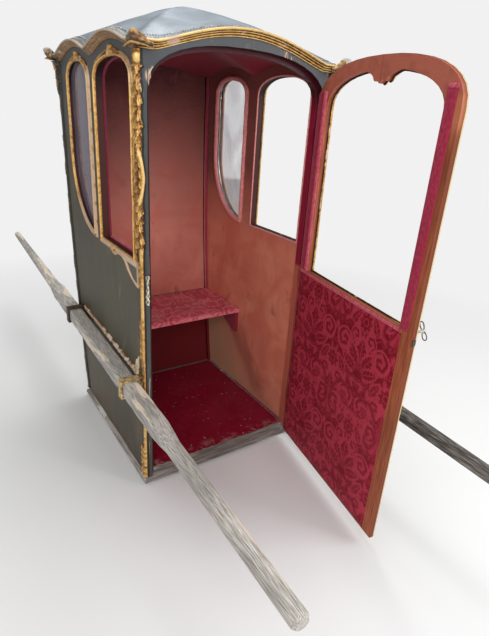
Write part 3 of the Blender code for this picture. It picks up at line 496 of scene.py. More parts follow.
@dataclass(frozen=True)
class Leather:
    """Waxed leather drawn over the roof: slate blue, glossy, with creases and dull rubbed spots."""

    name: str = "roof leather"
    base: Colour = "7c8a96"
    pale: Colour = "96a4b0"
    dark: Colour = "626e7a"

    def build(self) -> Material:
        """Builds the material.

        Returns:
            The material.
        """
        sheet = Shader(self.name)
        clouds = sheet.noise(5.0, (1, 1, 1), 7.0, 0.6)
        tone = sheet.ramp(clouds, (0.3, self.dark), (0.5, self.base), (0.75, self.pale))
        fine = sheet.noise(120.0, (1, 1, 1), 4.0)
        tone = sheet.tint(tone, self.pale, fine, 0.6, 0.72, 0.4)
        sheet.set(Base_Color=tone, Roughness=sheet.band(clouds, 0.3, 0.7, 0.3, 0.48))
        sheet.set(Coat_Weight=0.12, Coat_Roughness=0.3)
        sheet.bump(sheet.noise(26.0, (1, 1, 1), 7.0, 1.5), 0.3, 0.004)
        sheet.bump(sheet.band(sheet.cracks(240.0), 0.0, 0.08), 0.12, 0.0005)
        return sheet.material


@dataclass(frozen=True)
class Damask:
    """Figured silk: a dark satin figure on a paler ground, read from the cloth's own pattern value."""

    name: str
    ground: Colour
    figure: Colour
    faded: Colour
    fade: float = 0.3
    dust: float = 0.0
    dust_edge: float = -9.0
    weave: float = 1500.0

    def build(self) -> Material:
        """Builds the material.

        Returns:
            The material.
        """
        sheet = Shader(self.name)
        figure = sheet.attribute("figure")
        tone = sheet.mix(figure, self.ground, self.figure)
        clouds = sheet.noise(6.0, (1, 1, 0.7), 6.0, 0.4)
        tone = sheet.tint(tone, self.faded, clouds, 0.45, 0.72, self.fade)
        threads = sheet.noise(420.0, (1, 1, 0.12), 2.0)
        tone = sheet.tint(tone, self.faded, threads, 0.45, 0.75, 0.12)
        if self.dust:
            pale = "b09692"
            specks = sheet.band(sheet.noise(60.0, (1, 1, 1), 5.0, 0.8), 0.675, 0.7, 0.0, self.dust)
            film = sheet.band(sheet.axis(1), self.dust_edge + 0.05, self.dust_edge)
            film = sheet.times(film, sheet.band(sheet.noise(28.0, (1, 1, 1), 6.0), 0.5, 0.66, 0.0, 0.6))
            tone = sheet.mix(specks, tone, pale)
            tone = sheet.mix(film, tone, pale)
        sheet.set(Base_Color=tone, Roughness=sheet.band(figure, 0.0, 1.0, 0.75, 0.6))
        sheet.set(Sheen_Weight=0.04, Sheen_Roughness=0.4, Specular_IOR_Level=0.12)
        sheet.bump(sheet.noise(self.weave, (1, 1, 0.5), 1.0), 0.2, 0.0003)
        sheet.bump(figure, 0.25, 0.0005)
        return sheet.material


@dataclass(frozen=True)
class Silk:
    """Faded silk on a board, with water stains, a pale weft and a tone that darkens upwards, painted shade
    towards the roof.
    """

    name: str
    base: Colour
    pale: Colour
    upper: Colour
    stain: Colour
    rise: Place = (0.7, 1.5)
    stained: float = 0.63
    lower: Colour | None = None
    dirt: Colour | None = None

    def build(self) -> Material:
        """Builds the material.

        Returns:
            The material.
        """
        sheet = Shader(self.name)
        clouds = sheet.noise(7.0, (1, 1, 0.8), 7.0, 0.7)
        tone = sheet.tint(self.base, self.pale, clouds, 0.38, 0.68)
        height = sheet.math("ADD", sheet.axis(2), sheet.band(clouds, 0.2, 0.8, -0.12, 0.12))
        # Painted shade: towards the top the cloth goes to its darker upper colour.
        tone = sheet.mix(sheet.band(height, *self.rise), tone, self.upper)
        spots = sheet.noise(13.0, (1, 1, 0.8), 8.0, 0.5)
        tone = sheet.tint(tone, self.stain, spots, self.stained, self.stained + 0.12, 0.7)
        weft = sheet.noise(260.0, (0.12, 0.12, 1), 3.0)
        tone = sheet.tint(tone, self.pale, weft, 0.5, 0.7, 0.07)
        bars = sheet.noise(16.0, (0.1, 0.1, 1), 5.0)
        tone = sheet.tint(tone, self.stain, bars, 0.45, 0.7, 0.16)
        if self.dirt:
            slope = sheet.math("SUBTRACT", sheet.axis(2), sheet.times(sheet.axis(1), 0.92))
            slope = sheet.math("ADD", slope, sheet.band(clouds, 0.2, 0.8, -0.06, 0.06))
            below = sheet.band(sheet.axis(2), 0.462, 0.44)
            rim = sheet.times(sheet.band(slope, 0.33, 0.25), sheet.band(slope, 0.14, 0.2))
            share = sheet.times(sheet.band(slope, 0.25, 0.02, 0.0, 0.85), below)
            tone = sheet.mix(share, tone, self.dirt)
            tone = sheet.mix(sheet.times(sheet.times(rim, 0.6), below), tone, self.stain)
            foot = sheet.math("ADD", sheet.axis(2), sheet.band(spots, 0.3, 0.7, -0.03, 0.03))
            tone = sheet.tint(tone, self.dirt, foot, 0.11, 0.055, 0.7)
        if self.lower:
            tone = sheet.tint(tone, self.lower, sheet.axis(2), 0.462, 0.452)
        sheet.set(Base_Color=tone, Roughness=0.66, Sheen_Weight=0.15, Specular_IOR_Level=0.3)
        sheet.bump(sheet.noise(1300.0, (1, 1, 0.4), 1.0), 0.15, 0.0003)
        sheet.bump(sheet.noise(9.0, (1, 1, 0.5), 5.0), 0.15, 0.004)
        return sheet.material


@dataclass(frozen=True)
class Velvet:
    """Crimson velvet with a rubbed pile."""

    name: str
    base: Colour = "961436"
    rubbed: Colour = "b02c4e"

    def build(self) -> Material:
        """Builds the material.

        Returns:
            The material.
        """
        sheet = Shader(self.name)
        pile = sheet.noise(150.0, (1, 1, 0.6), 6.0, 0.2)
        tone = sheet.tint(self.base, self.rubbed, pile, 0.4, 0.66)
        sheet.set(Base_Color=tone, Roughness=0.85, Sheen_Weight=0.3, Sheen_Roughness=0.35)
        sheet.bump(sheet.noise(900.0, (1, 1, 1), 2.0), 0.3, 0.0006)
        return sheet.material


@dataclass(frozen=True)
class Metal:
    """Dull old metal, with darker tarnish or rust in its clouds."""

    name: str
    base: Colour
    tarnish: Colour
    roughness: float = 0.5
    metal: float = 0.7

    def build(self) -> Material:
        """Builds the material.

        Returns:
            The material.
        """
        sheet = Shader(self.name)
        clouds = sheet.noise(60.0, (1, 1, 1), 6.0, 0.3)
        tone = sheet.tint(self.base, self.tarnish, clouds, 0.4, 0.65)
        sheet.set(Base_Color=tone, Metallic=self.metal, Roughness=self.roughness)
        sheet.bump(sheet.noise(300.0, (1, 1, 1), 4.0), 0.25, 0.0006)
        return sheet.material


@dataclass(frozen=True)
class Glass:
    """An old pane, hazed with dirt and with flakes of paint along its front edge."""

    name: str = "old glass"
    tint: Colour = "968ea2"
    clear: float = 0.85
    flake_y: float = 0.128

    def build(self) -> Material:
        """Builds the material.

        Returns:
            The material.
        """
        sheet = Shader(self.name)
        haze = sheet.noise(5.0, (1, 1, 0.6), 6.0, 0.8)
        flakes = sheet.band(sheet.noise(34.0, (1, 1, 0.5), 5.0), 0.53, 0.55)
        edge = sheet.band(sheet.axis(1), self.flake_y, self.flake_y - 0.012)
        flakes = sheet.times(flakes, edge)
        tone = sheet.mix(flakes, self.tint, "e8e8ec")
        clear = sheet.band(haze, 0.35, 0.75, self.clear, self.clear - 0.5)
        clear = sheet.times(clear, sheet.band(flakes, 0.0, 1.0, 1.0, 0.0))
        sheet.set(Base_Color=tone, Roughness=sheet.band(flakes, 0.0, 1.0, 0.06, 0.6))
        sheet.set(Transmission_Weight=clear, IOR=1.45)
        return sheet.material


class Finishes:
    """Every finish of the chair, built once."""

    # Base, streak and upper colours of each paint; the bluish upper colour is a painted sheen.
    olive = ("423e30", "5e5948", "505454")
    slate = ("363736", "4e4f4e", "4a4e52")
    panel = Paint("olive paint", *olive).build()
    frame_paint = Paint("olive paint and brown reveals", *olive, inside="421e18",
                             shaded_inside_top="1e0c0e", inside_y=-9.0).build()
    header = Paint("slate paint and crimson jambs", *slate, scratch_share=0.7,
                        scratch="ceb096", inside="8c1634",
                        inside_low="b25c4c", inside_left="1e1010",
                        spot=(-0.3125, -0.3665, 1.44)).build()
    rear_strip = Gilt(
        "darkened carving", "221e18", "36322a", "5c503a", "a88a5c",
        "d09e56", worn=0.7, metal=0.15,
    ).build()
    hood = Gilt(
        "browned hoods", "2c1e14", "583e26", "88643a",
        "d0a462", "bab6b0", worn=0.72, metal=0.25,
    ).build()
    side_gilt = Gilt(
        "browned gilding", "402a18", "704e2c", "966e40",
        "c4b49e", "beb09e", metal=0.3,
    ).build()
    gilt = Gilt("gilding").build()
    strip = Gilt("strip gilding", field="282826").build()
    worn_gilt = Gilt(
        "worn gilding", "604432", "a07c60", "ceac8a",
        "e4c8a8", "dec8b2", worn=0.5, metal=0.2,
    ).build()
    leather = Leather().build()
    plinth = Wood(
        "greyed plinth", (1.0, 0.05, 1.0), "746860", "b2a8a2",
        "cec6c0", "dad4ce", 0.6,
    ).build()
    sill = Wood(
        "greyed sill", (0.08, 1.0, 1.0), "5c544e", "88807a",
        "a8a09a", "bab2a8", 0.62,
    ).build()
    base = Wood(
        "blackened base", (0.1, 1.0, 1.0), "1a1816", "282420",
        "36302c", "463e36", 0.68,
    ).build()
    pole = Wood(
        "weathered pole", (1.0, 0.035, 1.0), "7a7570", "b8b2aa",
        "ded9d2", "e4d4be", 0.6, 0.8, 0.3, 420.0,
    ).build()
    # The right pole's copy of the pole finish, darker all over: painted shade.
    shaded_pole = Wood(
        "darker pole", (1.0, 0.035, 1.0), "2e2926", "605954",
        "bab4ac", "c8baa8", 0.64, 0.8, 0.3, 420.0,
    ).build()
    door_timber = DoorTimber().build()
    damask = Damask(
        "crimson damask", "ae3246", "78081c", "bc4c5c", 0.12
    ).build()
    seat_damask = Damask(
        "dusty damask", "dc727e", "b23e4e", "d69898", 0.55
    ).build()
    floor_cloth = Damask(
        "floor damask", "8c0e2a", "70041c", "963246", 0.3, 0.8, -0.335
    ).build()
    silk = Silk(
        "faded silk", "c27062", "d28878", "58282a",
        "964e46", (0.8, 1.5), lower="68040c",
    ).build()
    side_silk = Silk(
        "orange silk", "c66850", "d8866a", "743630",
        "924a36", (0.85, 1.15), dirt="bc8c68",
    ).build()
    dark_silk = Silk(
        "dark crimson cloth", "7c0a24", "8c1630", "740820",
        "540618", (1.5, 2.5),
    ).build()
    velvet = Velvet("crimson velvet").build()
    # A darker copy of the velvet: painted shade.
    shaded_velvet = Velvet("shaded velvet", "6c0c28", "821836").build()
    pale_roll = Velvet("faded roll", "ce7674", "e29892").build()
    pink = Velvet("pink braid", "ba3e54", "d06872").build()
    staple = Metal("pale gilt iron", "dec28a", "765634", 0.5, 0.25).build()
    iron = Metal("brown iron", "604e3e", "38281e", 0.6, 0.5).build()
    brass = Metal("old brass", "ceb068", "96763e", 0.4, 0.7).build()
    pale_brass = Metal(
        "nail brass", "d6cebe", "807664", 0.45, 0.5
    ).build()
    silvered = Gilt(
        "silvered carving", "5c5442", "968e76", "ccc6b2",
        "f0eee2", "e2dece", metal=0.15,
    ).build()
    steel = Metal("dull steel", "706c66", "383430", 0.45, 0.7).build()
    glass = Glass().build()
    clear_glass = Glass("clearer glass", "ecedf0", 0.98).build()


class Mesher:
    """Builds plain meshes from arrays of points."""

    @staticmethod
    def solid(name: str, points: np.ndarray, faces: Sequence[Sequence[int]], crease: float = 50.0) -> Piece:
        """Makes a closed mesh with outward faces, smooth apart from its sharp edges.

        Args:
            name: The piece's name.
            points: Vertices, one row each.
            faces: Vertex numbers of each face.
            crease: Edges that turn by more than this many degrees stay sharp.

        Returns:
            The new object, linked to the scene.
        """
        mesh = bpy.data.meshes.new(name)
        mesh.from_pydata([tuple(p) for p in np.asarray(points, float)], [], [list(f) for f in faces])
        shape = bmesh.new()
        shape.from_mesh(mesh)
        bmesh.ops.recalc_face_normals(shape, faces=shape.faces)
        shape.to_mesh(mesh)
        shape.free()
        mesh.shade_smooth()
        mesh.set_sharp_from_angle(angle=math.radians(crease))
        return placed(name, mesh)

    @staticmethod
    def grid_faces(rows: int, columns: int, ring: bool = False, loop: bool = False) -> list[list[int]]:
        """Faces of a grid of points.

        Args:
            rows: Rows of the grid.
            columns: Columns of the grid.
            ring: The last column joins the first.
            loop: The last row joins the first.

        Returns:
            Four vertex numbers for each face.
        """
        faces = []
        for i in range(rows if loop else rows - 1):
            for j in range(columns if ring else columns - 1):
                k, m = (i + 1) % rows, (j + 1) % columns
                faces.append([i * columns + j, i * columns + m, k * columns + m, k * columns + j])
        return faces

    @classmethod
    def tube(cls, name: str, rings: np.ndarray, loop: bool = False, crease: float = 50.0) -> Piece:
        """Joins rings of points into a closed body.

        Args:
            name: The piece's name.
            rings: An array of rings, each a closed row of points.
            loop: The last ring joins the first; otherwise both ends are capped.
            crease: Edges that turn by more than this many degrees stay sharp.

        Returns:
            The new object.
        """
        count, around = rings.shape[:2]
        faces = cls.grid_faces(count, around, ring=True, loop=loop)
        if not loop:
            faces.append(list(range(around)))
            faces.append([(count - 1) * around + i for i in range(around)])
        return cls.solid(name, rings.reshape(-1, 3), faces, crease)

    @classmethod
    def slab(
        cls, name: str, top: np.ndarray, under: np.ndarray, crease: float = 50.0, plain: bool = False
    ) -> Piece:
        """Closes two grids of points, a visible face and the face behind it, into one body.

        Args:
            name: The piece's name.
            top: The visible face, rows by columns by 3.
            under: The face behind it, of the same shape.
            crease: Edges that turn by more than this many degrees stay sharp.
            plain: The back is one flat face with the rim of the grid behind.

        Returns:
            The new object; its first vertices are the visible face's.
        """
        rows, columns = top.shape[:2]
        base, rim = rows * columns, cls.rim(rows, columns)
        faces, hidden = cls.grid_faces(rows, columns), under.reshape(-1, 3)
        back, behind = [face[::-1] for face in faces], {v: v for v in rim}
        if plain:
            hidden, back, behind = hidden[rim], [range(len(rim))], {v: i for i, v in enumerate(rim)}
        faces += [[base + v for v in face] for face in back]
        faces += [[b, a, base + behind[a], base + behind[b]] for a, b in zip(rim, rim[1:] + rim[:1])]
        return cls.solid(name, np.concatenate([top.reshape(-1, 3), hidden]), faces, crease)

    @staticmethod
    def rim(rows: int, columns: int) -> list[int]:
        """Vertex numbers round the edge of a grid."""
        rim = [j for j in range(columns)]
        rim += [i * columns + columns - 1 for i in range(1, rows)]
        rim += [(rows - 1) * columns + j for j in range(columns - 2, -1, -1)]
        return rim + [i * columns for i in range(rows - 2, 0, -1)]

    @staticmethod
    def store(piece: Piece, name: str, values: np.ndarray, spare: int = 0) -> None:
        """Stores one number on each vertex, for a finish to read, and 0 on the rest.

        Args:
            piece: The object.
            name: The attribute's name.
            values: The numbers, rows of the visible face.
            spare: Points at the end of each row that are left out of values.
        """
        full = np.zeros(len(piece.data.vertices), np.float32)
        flat = np.pad(values, ((0, 0), (0, spare))) if spare else values
        flat = np.asarray(flat, np.float32).reshape(-1)
        full[: len(flat)] = flat
        piece.data.attributes.new(name, "FLOAT", "POINT").data.foreach_set("value", full)


def dress(piece: Piece, finish: Material, slot: str, *stands_for: str, body: str = "cabin") -> Piece:
    """Gives a piece its finish and body, and hides the nodes it stands for.

    Args:
        piece: The finished object.
        finish: Its material.
        slot: The record's material slot; not used.
        stands_for: The CAD nodes that it replaces.
        body: The CAD body it rides on.

    Returns:
        The same object.
    """
    piece.data.materials.clear()
    piece.data.materials.append(finish)
    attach(piece, body)
    if stands_for:
        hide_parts(*stands_for)
    log.info("%s: %d faces", piece.name, len(piece.data.polygons))
    return piece


def finish_node(finish: Material, *nodes: str) -> None:
    """Puts a finish on CAD nodes that are shown as they are."""
    for name in nodes:
        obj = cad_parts[name]
        obj.data.materials.clear()
        obj.data.materials.append(finish)
        log.info("%s: kept, %s", name, finish.name)


def smooth_path(points: np.ndarray, per: int) -> np.ndarray:
    """Draws a smooth curve through a row of points.

    Args:
        points: The points, one row each.
        per: Steps between two points.

    Returns:
        The denser row, ends included.
    """
    padded = np.concatenate([2 * points[:1] - points[1:2], points, 2 * points[-1:] - points[-2:-1]])
    rows = []
    for i in range(len(points) - 1):
        a, b, c, d = padded[i : i + 4]
        for t in np.arange(per) / per:
            rows.append(
                0.5 * (2 * b + (c - a) * t + (2 * a - 5 * b + 4 * c - d) * t**2
                       + (3 * b - a - 3 * c + d) * t**3)
            )
    return np.array(rows + [points[-1]])


def leaf_relief(across: np.ndarray, along: np.ndarray) -> np.ndarray:
    """The relief of a carved leaf chain.

    Args:
        across: Place across the leaf, from -1 to 1.
        along: Place along the chain, one leaf for each unit.

    Returns:
        Heights from 0 to 1.
    """
    share = along - np.floor(along)
    width = 0.45 + 0.55 * np.sin(np.pi * held(share * 1.15)) ** 0.8
    inside = held(1.0 - (np.abs(across) / width) ** 2) ** 0.6
    veins = 0.5 + 0.5 * np.cos(2 * np.pi * (3.2 * np.abs(across) - 2.2 * share))
    rib = bell(across, 0.13)
    curl = 0.45 + 0.55 * np.sin(np.pi * share) ** 0.7
    return inside * curl * (0.55 + 0.28 * veins + 0.3 * rib)


def wobble(points: np.ndarray, size: float, seed: float = 0.0) -> np.ndarray:
    """A gentle hand-made unevenness for each point, from -1 to 1.

    Args:
        points: The points, one row each.
        size: Metres between one swell and the next.
        seed: Shifts the pattern.

    Returns:
        One value for each point.
    """
    p = points * (2 * np.pi / size)
    first = np.sin(p[..., 0] * 1.0 + 1.7 * np.sin(p[..., 1] * 0.71 + seed) + seed)
    second = np.sin(p[..., 1] * 1.13 + 1.3 * np.sin(p[..., 2] * 0.83 + 2.1 * seed) + 1.3)
    third = np.sin(p[..., 2] * 0.91 + 1.5 * np.sin(p[..., 0] * 0.67 + seed) + 2.6)
    return (first + second + third) / 3.0


@dataclass(frozen=True)
class Studio:
    """The photographer's place: camera, lamps, pale floor and backdrop."""

    eye: Point = (-0.922, -1.768, 1.363)
    turns: Point = (34.766, 22.634, 3.769)
    lens: float = 27.34
    shift: Place = (0.0006, -0.0066)
    pale: float = 0.88
    even_light: float = 0.42
    floor_radius: float = 9.0
    fade: Place = (1.3, 3.0)

    def camera(self) -> None:
        """Sets the camera at the photo's own angle."""
        yaw, pitch, roll = (math.radians(a) for a in self.turns)
        forward = Vector(
            (math.sin(yaw) * math.cos(pitch), math.cos(yaw) * math.cos(pitch), -math.sin(pitch))
        )
        level = Vector((math.cos(yaw), -math.sin(yaw), 0.0))
        upright = level.cross(forward)
        right = math.cos(roll) * level + math.sin(roll) * upright
        up = -math.sin(roll) * level + math.cos(roll) * upright
        data = bpy.data.cameras.new("camera")
        data.sensor_fit = "VERTICAL"
        data.sensor_height = data.sensor_width = 36.0
        data.lens = self.lens
        data.shift_x, data.shift_y = self.shift
        made = placed("camera", data)
        turn = Matrix((right, up, -forward)).transposed().to_4x4()
        made.matrix_world = Matrix.Translation(self.eye) @ turn
        bpy.context.scene.camera = made

    def lamp(self, name: str, place: Point, aim: Point, size: float, watts: float) -> None:
        """Adds a soft square lamp.

        Args:
            name: The lamp's name.
            place: Where it hangs.
            aim: The point it faces.
            size: Its side in metres.
            watts: Its power.
        """
        data = bpy.data.lights.new(name, "AREA")
        data.size = size
        data.energy = watts
        made = placed(name, data)
        made.location = place
        made.rotation_euler = (Vector(aim) - Vector(place)).to_track_quat("-Z", "Y").to_euler()

    def world(self) -> None:
        """A pale backdrop for the eye and a softer even light for the object."""
        world = bpy.data.worlds.new("studio")
        bpy.context.scene.world = world
        world.use_nodes = True
        world.node_tree.nodes.clear()
        nodes = Nodes(world.node_tree)
        seen = nodes.add("Background", {"Color": (self.pale,) * 3})
        even = nodes.add("Background", {"Color": (1.0, 1.0, 1.0), "Strength": self.even_light})
        rays = nodes.add("LightPath", {}).outputs
        through = {0: rays["Is Camera Ray"], 1: rays["Is Transmission Ray"]}
        clear = nodes.add("Math", through, operation="MAXIMUM")
        mix = nodes.add("MixShader", {0: clear.outputs[0], 1: even.outputs[0], 2: seen.outputs[0]})
        nodes.add("OutputWorld", {"Surface": mix.outputs[0]})

    def floor(self) -> None:
        """A round pale floor that fades into the backdrop's own tone away from the chair."""
        mesh = bpy.data.meshes.new("floor")
        shape = bmesh.new()
        bmesh.ops.create_circle(shape, cap_ends=True, segments=64, radius=self.floor_radius)
        shape.to_mesh(mesh)
        shape.free()
        made = placed("floor", mesh)
        sheet = Shader("pale floor")
        sheet.set(Base_Color=(self.pale,) * 3, Roughness=0.9, Specular_IOR_Level=0.1)
        far = sheet.add("VectorMath", {0: sheet.place}, operation="LENGTH").outputs["Value"]
        seen = sheet.add("LightPath", {}).outputs["Is Camera Ray"]
        share = sheet.times(sheet.band(far, *self.fade), seen)
        glow = sheet.add("Emission", {"Color": (self.pale,) * 3}).outputs[0]
        mix = sheet.add("MixShader", {0: share, 1: sheet.surface.outputs[0], 2: glow})
        sheet.feed(sheet.tree.nodes["Material Output"].inputs["Surface"], mix.outputs[0])
        made.data.materials.append(sheet.material)

    def build(self) -> None:
        """Sets up the whole studio."""
        self.camera()
        self.world()
        self.floor()
        self.lamp("key", (-1.8, -3.6, 2.4), (0.0, 0.0, 0.8), 2.2, 76.0)
        self.lamp("fill", (2.4, -3.0, 2.6), (0.0, 0.0, 0.8), 2.0, 66.0)
        self.lamp("top", (0.5, 1.0, 4.4), (0.0, 0.0, 0.4), 1.6, 70.0)
        bpy.context.scene.view_settings.view_transform = "Standard"


@dataclass(frozen=True)
class Crown:
    """The serpentine lines of the cornice and the roof above it."""

    level: float = 0.042
    mullion_y: float = 0.064
    front_rise: float = 0.064
    back_rise: float = 0.03
    side_rise: float = 0.037
    power: float = 1.3
    height: float = 0.024
    out: float = 0.028
    inward: float = 0.03
    overhang: float = 0.014
    rim: float = 0.034
    roof_rise: float = 0.17
    shell: float = 0.012
    straight: float = 0.4

    def swell(self, place: np.ndarray, low: float, high: float) -> np.ndarray:
        """How far up a swell has come at places between its two ends."""
        inside = 1.0 - ((place - (low + high) / 2) / ((high - low) / 2)) ** 2
        return np.clip(inside, 0.0, None) ** self.power

    def line(self, edge: str, place: np.ndarray) -> np.ndarray:
        """The cornice's top.

        Args:
            edge: One of front, back and side.
            place: X along the front and back, Y along a side.

        Returns:
            Heights.
        """
        reach = CABIN.half_width - self.level
        if edge == "front":
            return CABIN.cornice_dip + self.front_rise * self.swell(place, -reach, reach)
        if edge == "back":
            return CABIN.cornice_dip + self.back_rise * self.swell(place, -reach, reach)
        first = CABIN.front_y + self.level
        last = CABIN.back_y(CABIN.cornice_dip) - self.level
        fore = self.swell(place, first, self.mullion_y) * (place < self.mullion_y)
        aft = self.swell(place, self.mullion_y, last) * (place >= self.mullion_y)
        return CABIN.cornice_dip + self.side_rise * (fore + aft)

    def runs(self, count: int = 96) -> list[tuple[str, np.ndarray, np.ndarray]]:
        """The four edges, anticlockwise from the front.

        Args:
            count: Stations along each edge.

        Returns:
            Each edge's name, its points, and the way out at each point, mitred at both ends.
        """
        back = CABIN.back_y(CABIN.cornice_dip)
        x = np.linspace(-CABIN.half_width, CABIN.half_width, count)
        y = np.linspace(CABIN.front_y, back, count)
        shut = CABIN.gap
        x[0], x[-1], y[0], y[-1] = x[0] + shut, x[-1] - shut, y[0] + shut, y[-1] - shut
        front = joined(x, CABIN.front_y, self.line("front", x))
        rear = joined(x, back, self.line("back", x))
        left = joined(-CABIN.half_width, y, self.line("side", y))
        rows = {"front": front, "right": left * (-1, 1, 1), "back": rear[::-1], "left": left[::-1]}
        outs = np.array([(0, -1, 0), (1, 0, 0), (0, 1, 0), (-1, 0, 0)], float)
        edges = []
        for k, (name, row) in enumerate(rows.items()):
            ways = np.tile(outs[k], (count, 1))
            ways[0], ways[-1] = outs[k - 1] + outs[k], outs[k] + outs[(k + 1) % 4]
            edges.append((name, row, ways))
        return edges


CROWN = Crown()


@dataclass(frozen=True)
class Cornice:
    """The gilt cornice: a reeded hollow under a bright top edge.

    The profile gives the way out, the height and how proud the gilding stands at each point.
    """

    profile: tuple[Point, ...] = (
        (-0.03, 0.0, 0.1), (-0.004, 0.0, 0.1), (0.002, 0.0, 0.35), (0.0044, 0.0006, 0.8),
        (0.0052, 0.0026, 0.9), (0.004, 0.0044, 0.05), (0.0072, 0.005, 0.1), (0.01, 0.006, 0.7),
        (0.0118, 0.0082, 0.95), (0.0112, 0.0104, 0.05), (0.015, 0.0112, 0.1), (0.0178, 0.0124, 0.75),
        (0.019, 0.0142, 1.0), (0.018, 0.0158, 0.05), (0.0216, 0.0162, 0.1), (0.025, 0.0172, 0.8),
        (0.0276, 0.019, 1.0), (0.028, 0.0212, 1.0), (0.0266, 0.0232, 0.9), (0.024, 0.024, 0.8),
        (0.012, 0.024, 0.3), (-0.03, 0.024, 0.1),
    )
    hollow_from: int = 5
    hollow_to: int = 16

    def build(self) -> None:
        """Sweeps the moulding along the four edges: reeded in front, a plain hollow elsewhere."""
        reeded, proud = np.array(self.profile)[:, :2], np.array(self.profile)[:, 2]
        hollow, span = reeded.copy(), slice(self.hollow_from, self.hollow_to)
        hollow[span, 0] = 0.005 + 0.02 * ((reeded[span, 1] - 0.0044) / 0.0128) ** 1.3
        for name, points, ways in CROWN.runs():
            profile = reeded if name == "front" else hollow
            rings = points[:, None] + profile[:, :1] * ways[:, None]
            rings[..., 2] = points[:, None, 2] - CROWN.height + profile[:, 1]
            piece = Mesher.tube(f"cornice_{name}_gilt", rings, crease=40.0)
            if name == "front":
                Mesher.store(piece, "relief", proud + 0.12 * wobble(rings, 0.05))
                dress(piece, Finishes.gilt, "gilding", "cornice_front")
                continue
            Mesher.store(piece, "relief", 0.5 + 0.16 * proud + 0.1 * wobble(rings, 0.11) - 0.04)
            pale = (profile[:, 1] > 0.018) * (profile[:, 0] > 0.013)
            Mesher.store(piece, "bare", np.tile(0.8 * pale, (len(points), 1)))
            dress(piece, Finishes.side_gilt, "gilding", f"cornice_{name}")


@dataclass(frozen=True)
class Roof:
    """The leather roof, drawn up in soft hips, with its two rows of small nails."""

    rings: int = 30
    nails: tuple[Place, ...] = ((0.0075, 0.0), (0.0215, 0.5))
    nail_spacing: float = 0.0085
    nail_radius: float = 0.0021

    @property
    def middle(self) -> np.ndarray:
        """The middle of the roof's plan."""
        return np.array([0.0, (CABIN.front_y + CABIN.back_y(CABIN.cornice_dip)) / 2, 0.0])

    def edge(self, out: float, count: int) -> np.ndarray:
        """The roof's plan edge at the cornice, moved out by a distance."""
        runs = CROWN.runs(count)
        return np.concatenate([row[:-1] + ways[:-1] * out + (0, 0, CABIN.gap) for _, row, ways in runs])

    def ring(self, edge: np.ndarray, inward: float, drop: float = 0.0) -> np.ndarray:
        """One ring of the roof, a share of the way from the edge to the top."""
        climb = CROWN.straight * inward + (1 - CROWN.straight) * math.sin(math.pi / 2 * inward)
        ring = self.middle + (edge - self.middle) * (1 - inward)
        foot = CABIN.cornice_dip + (edge[:, 2] - CABIN.cornice_dip) * (1 - inward) ** 2
        ring[:, 2] = foot + CROWN.roof_rise * climb - drop
        return ring

    def build(self) -> None:
        """Builds the leather and its nails."""
        outer, inner = self.edge(CROWN.overhang, 64), self.edge(CROWN.overhang - CROWN.rim, 64)
        shares = [0.97 * (i / self.rings) ** 1.15 for i in range(self.rings + 1)]
        rings = []
        for share in reversed(shares):
            ring = self.ring(outer, share)
            if 0.02 < share:
                ring[:, 2] += 0.0016 * wobble(ring, 0.16) * min(1.0, share * 8) - 0.0016
            rings.append(ring)
        rings += [inner] + [self.ring(inner, share, CROWN.shell) for share in shares[1:]]
        piece = Mesher.tube("roof_leather", np.array(rings), crease=50.0)
        dress(piece, Finishes.leather, "roof_leather", "roof_shell")
        edge = self.edge(CROWN.overhang, 200)
        reach = np.linalg.norm((edge - self.middle)[:, :2], axis=1).min()
        rows = [(self.ring(edge, inward / reach), shift) for inward, shift in self.nails]
        nails = Repeats("roof_nails", self.nail_spacing, self.nail_radius)
        dress(nails.along(rows, Finishes.pale_brass), Finishes.pale_brass, "gilding")


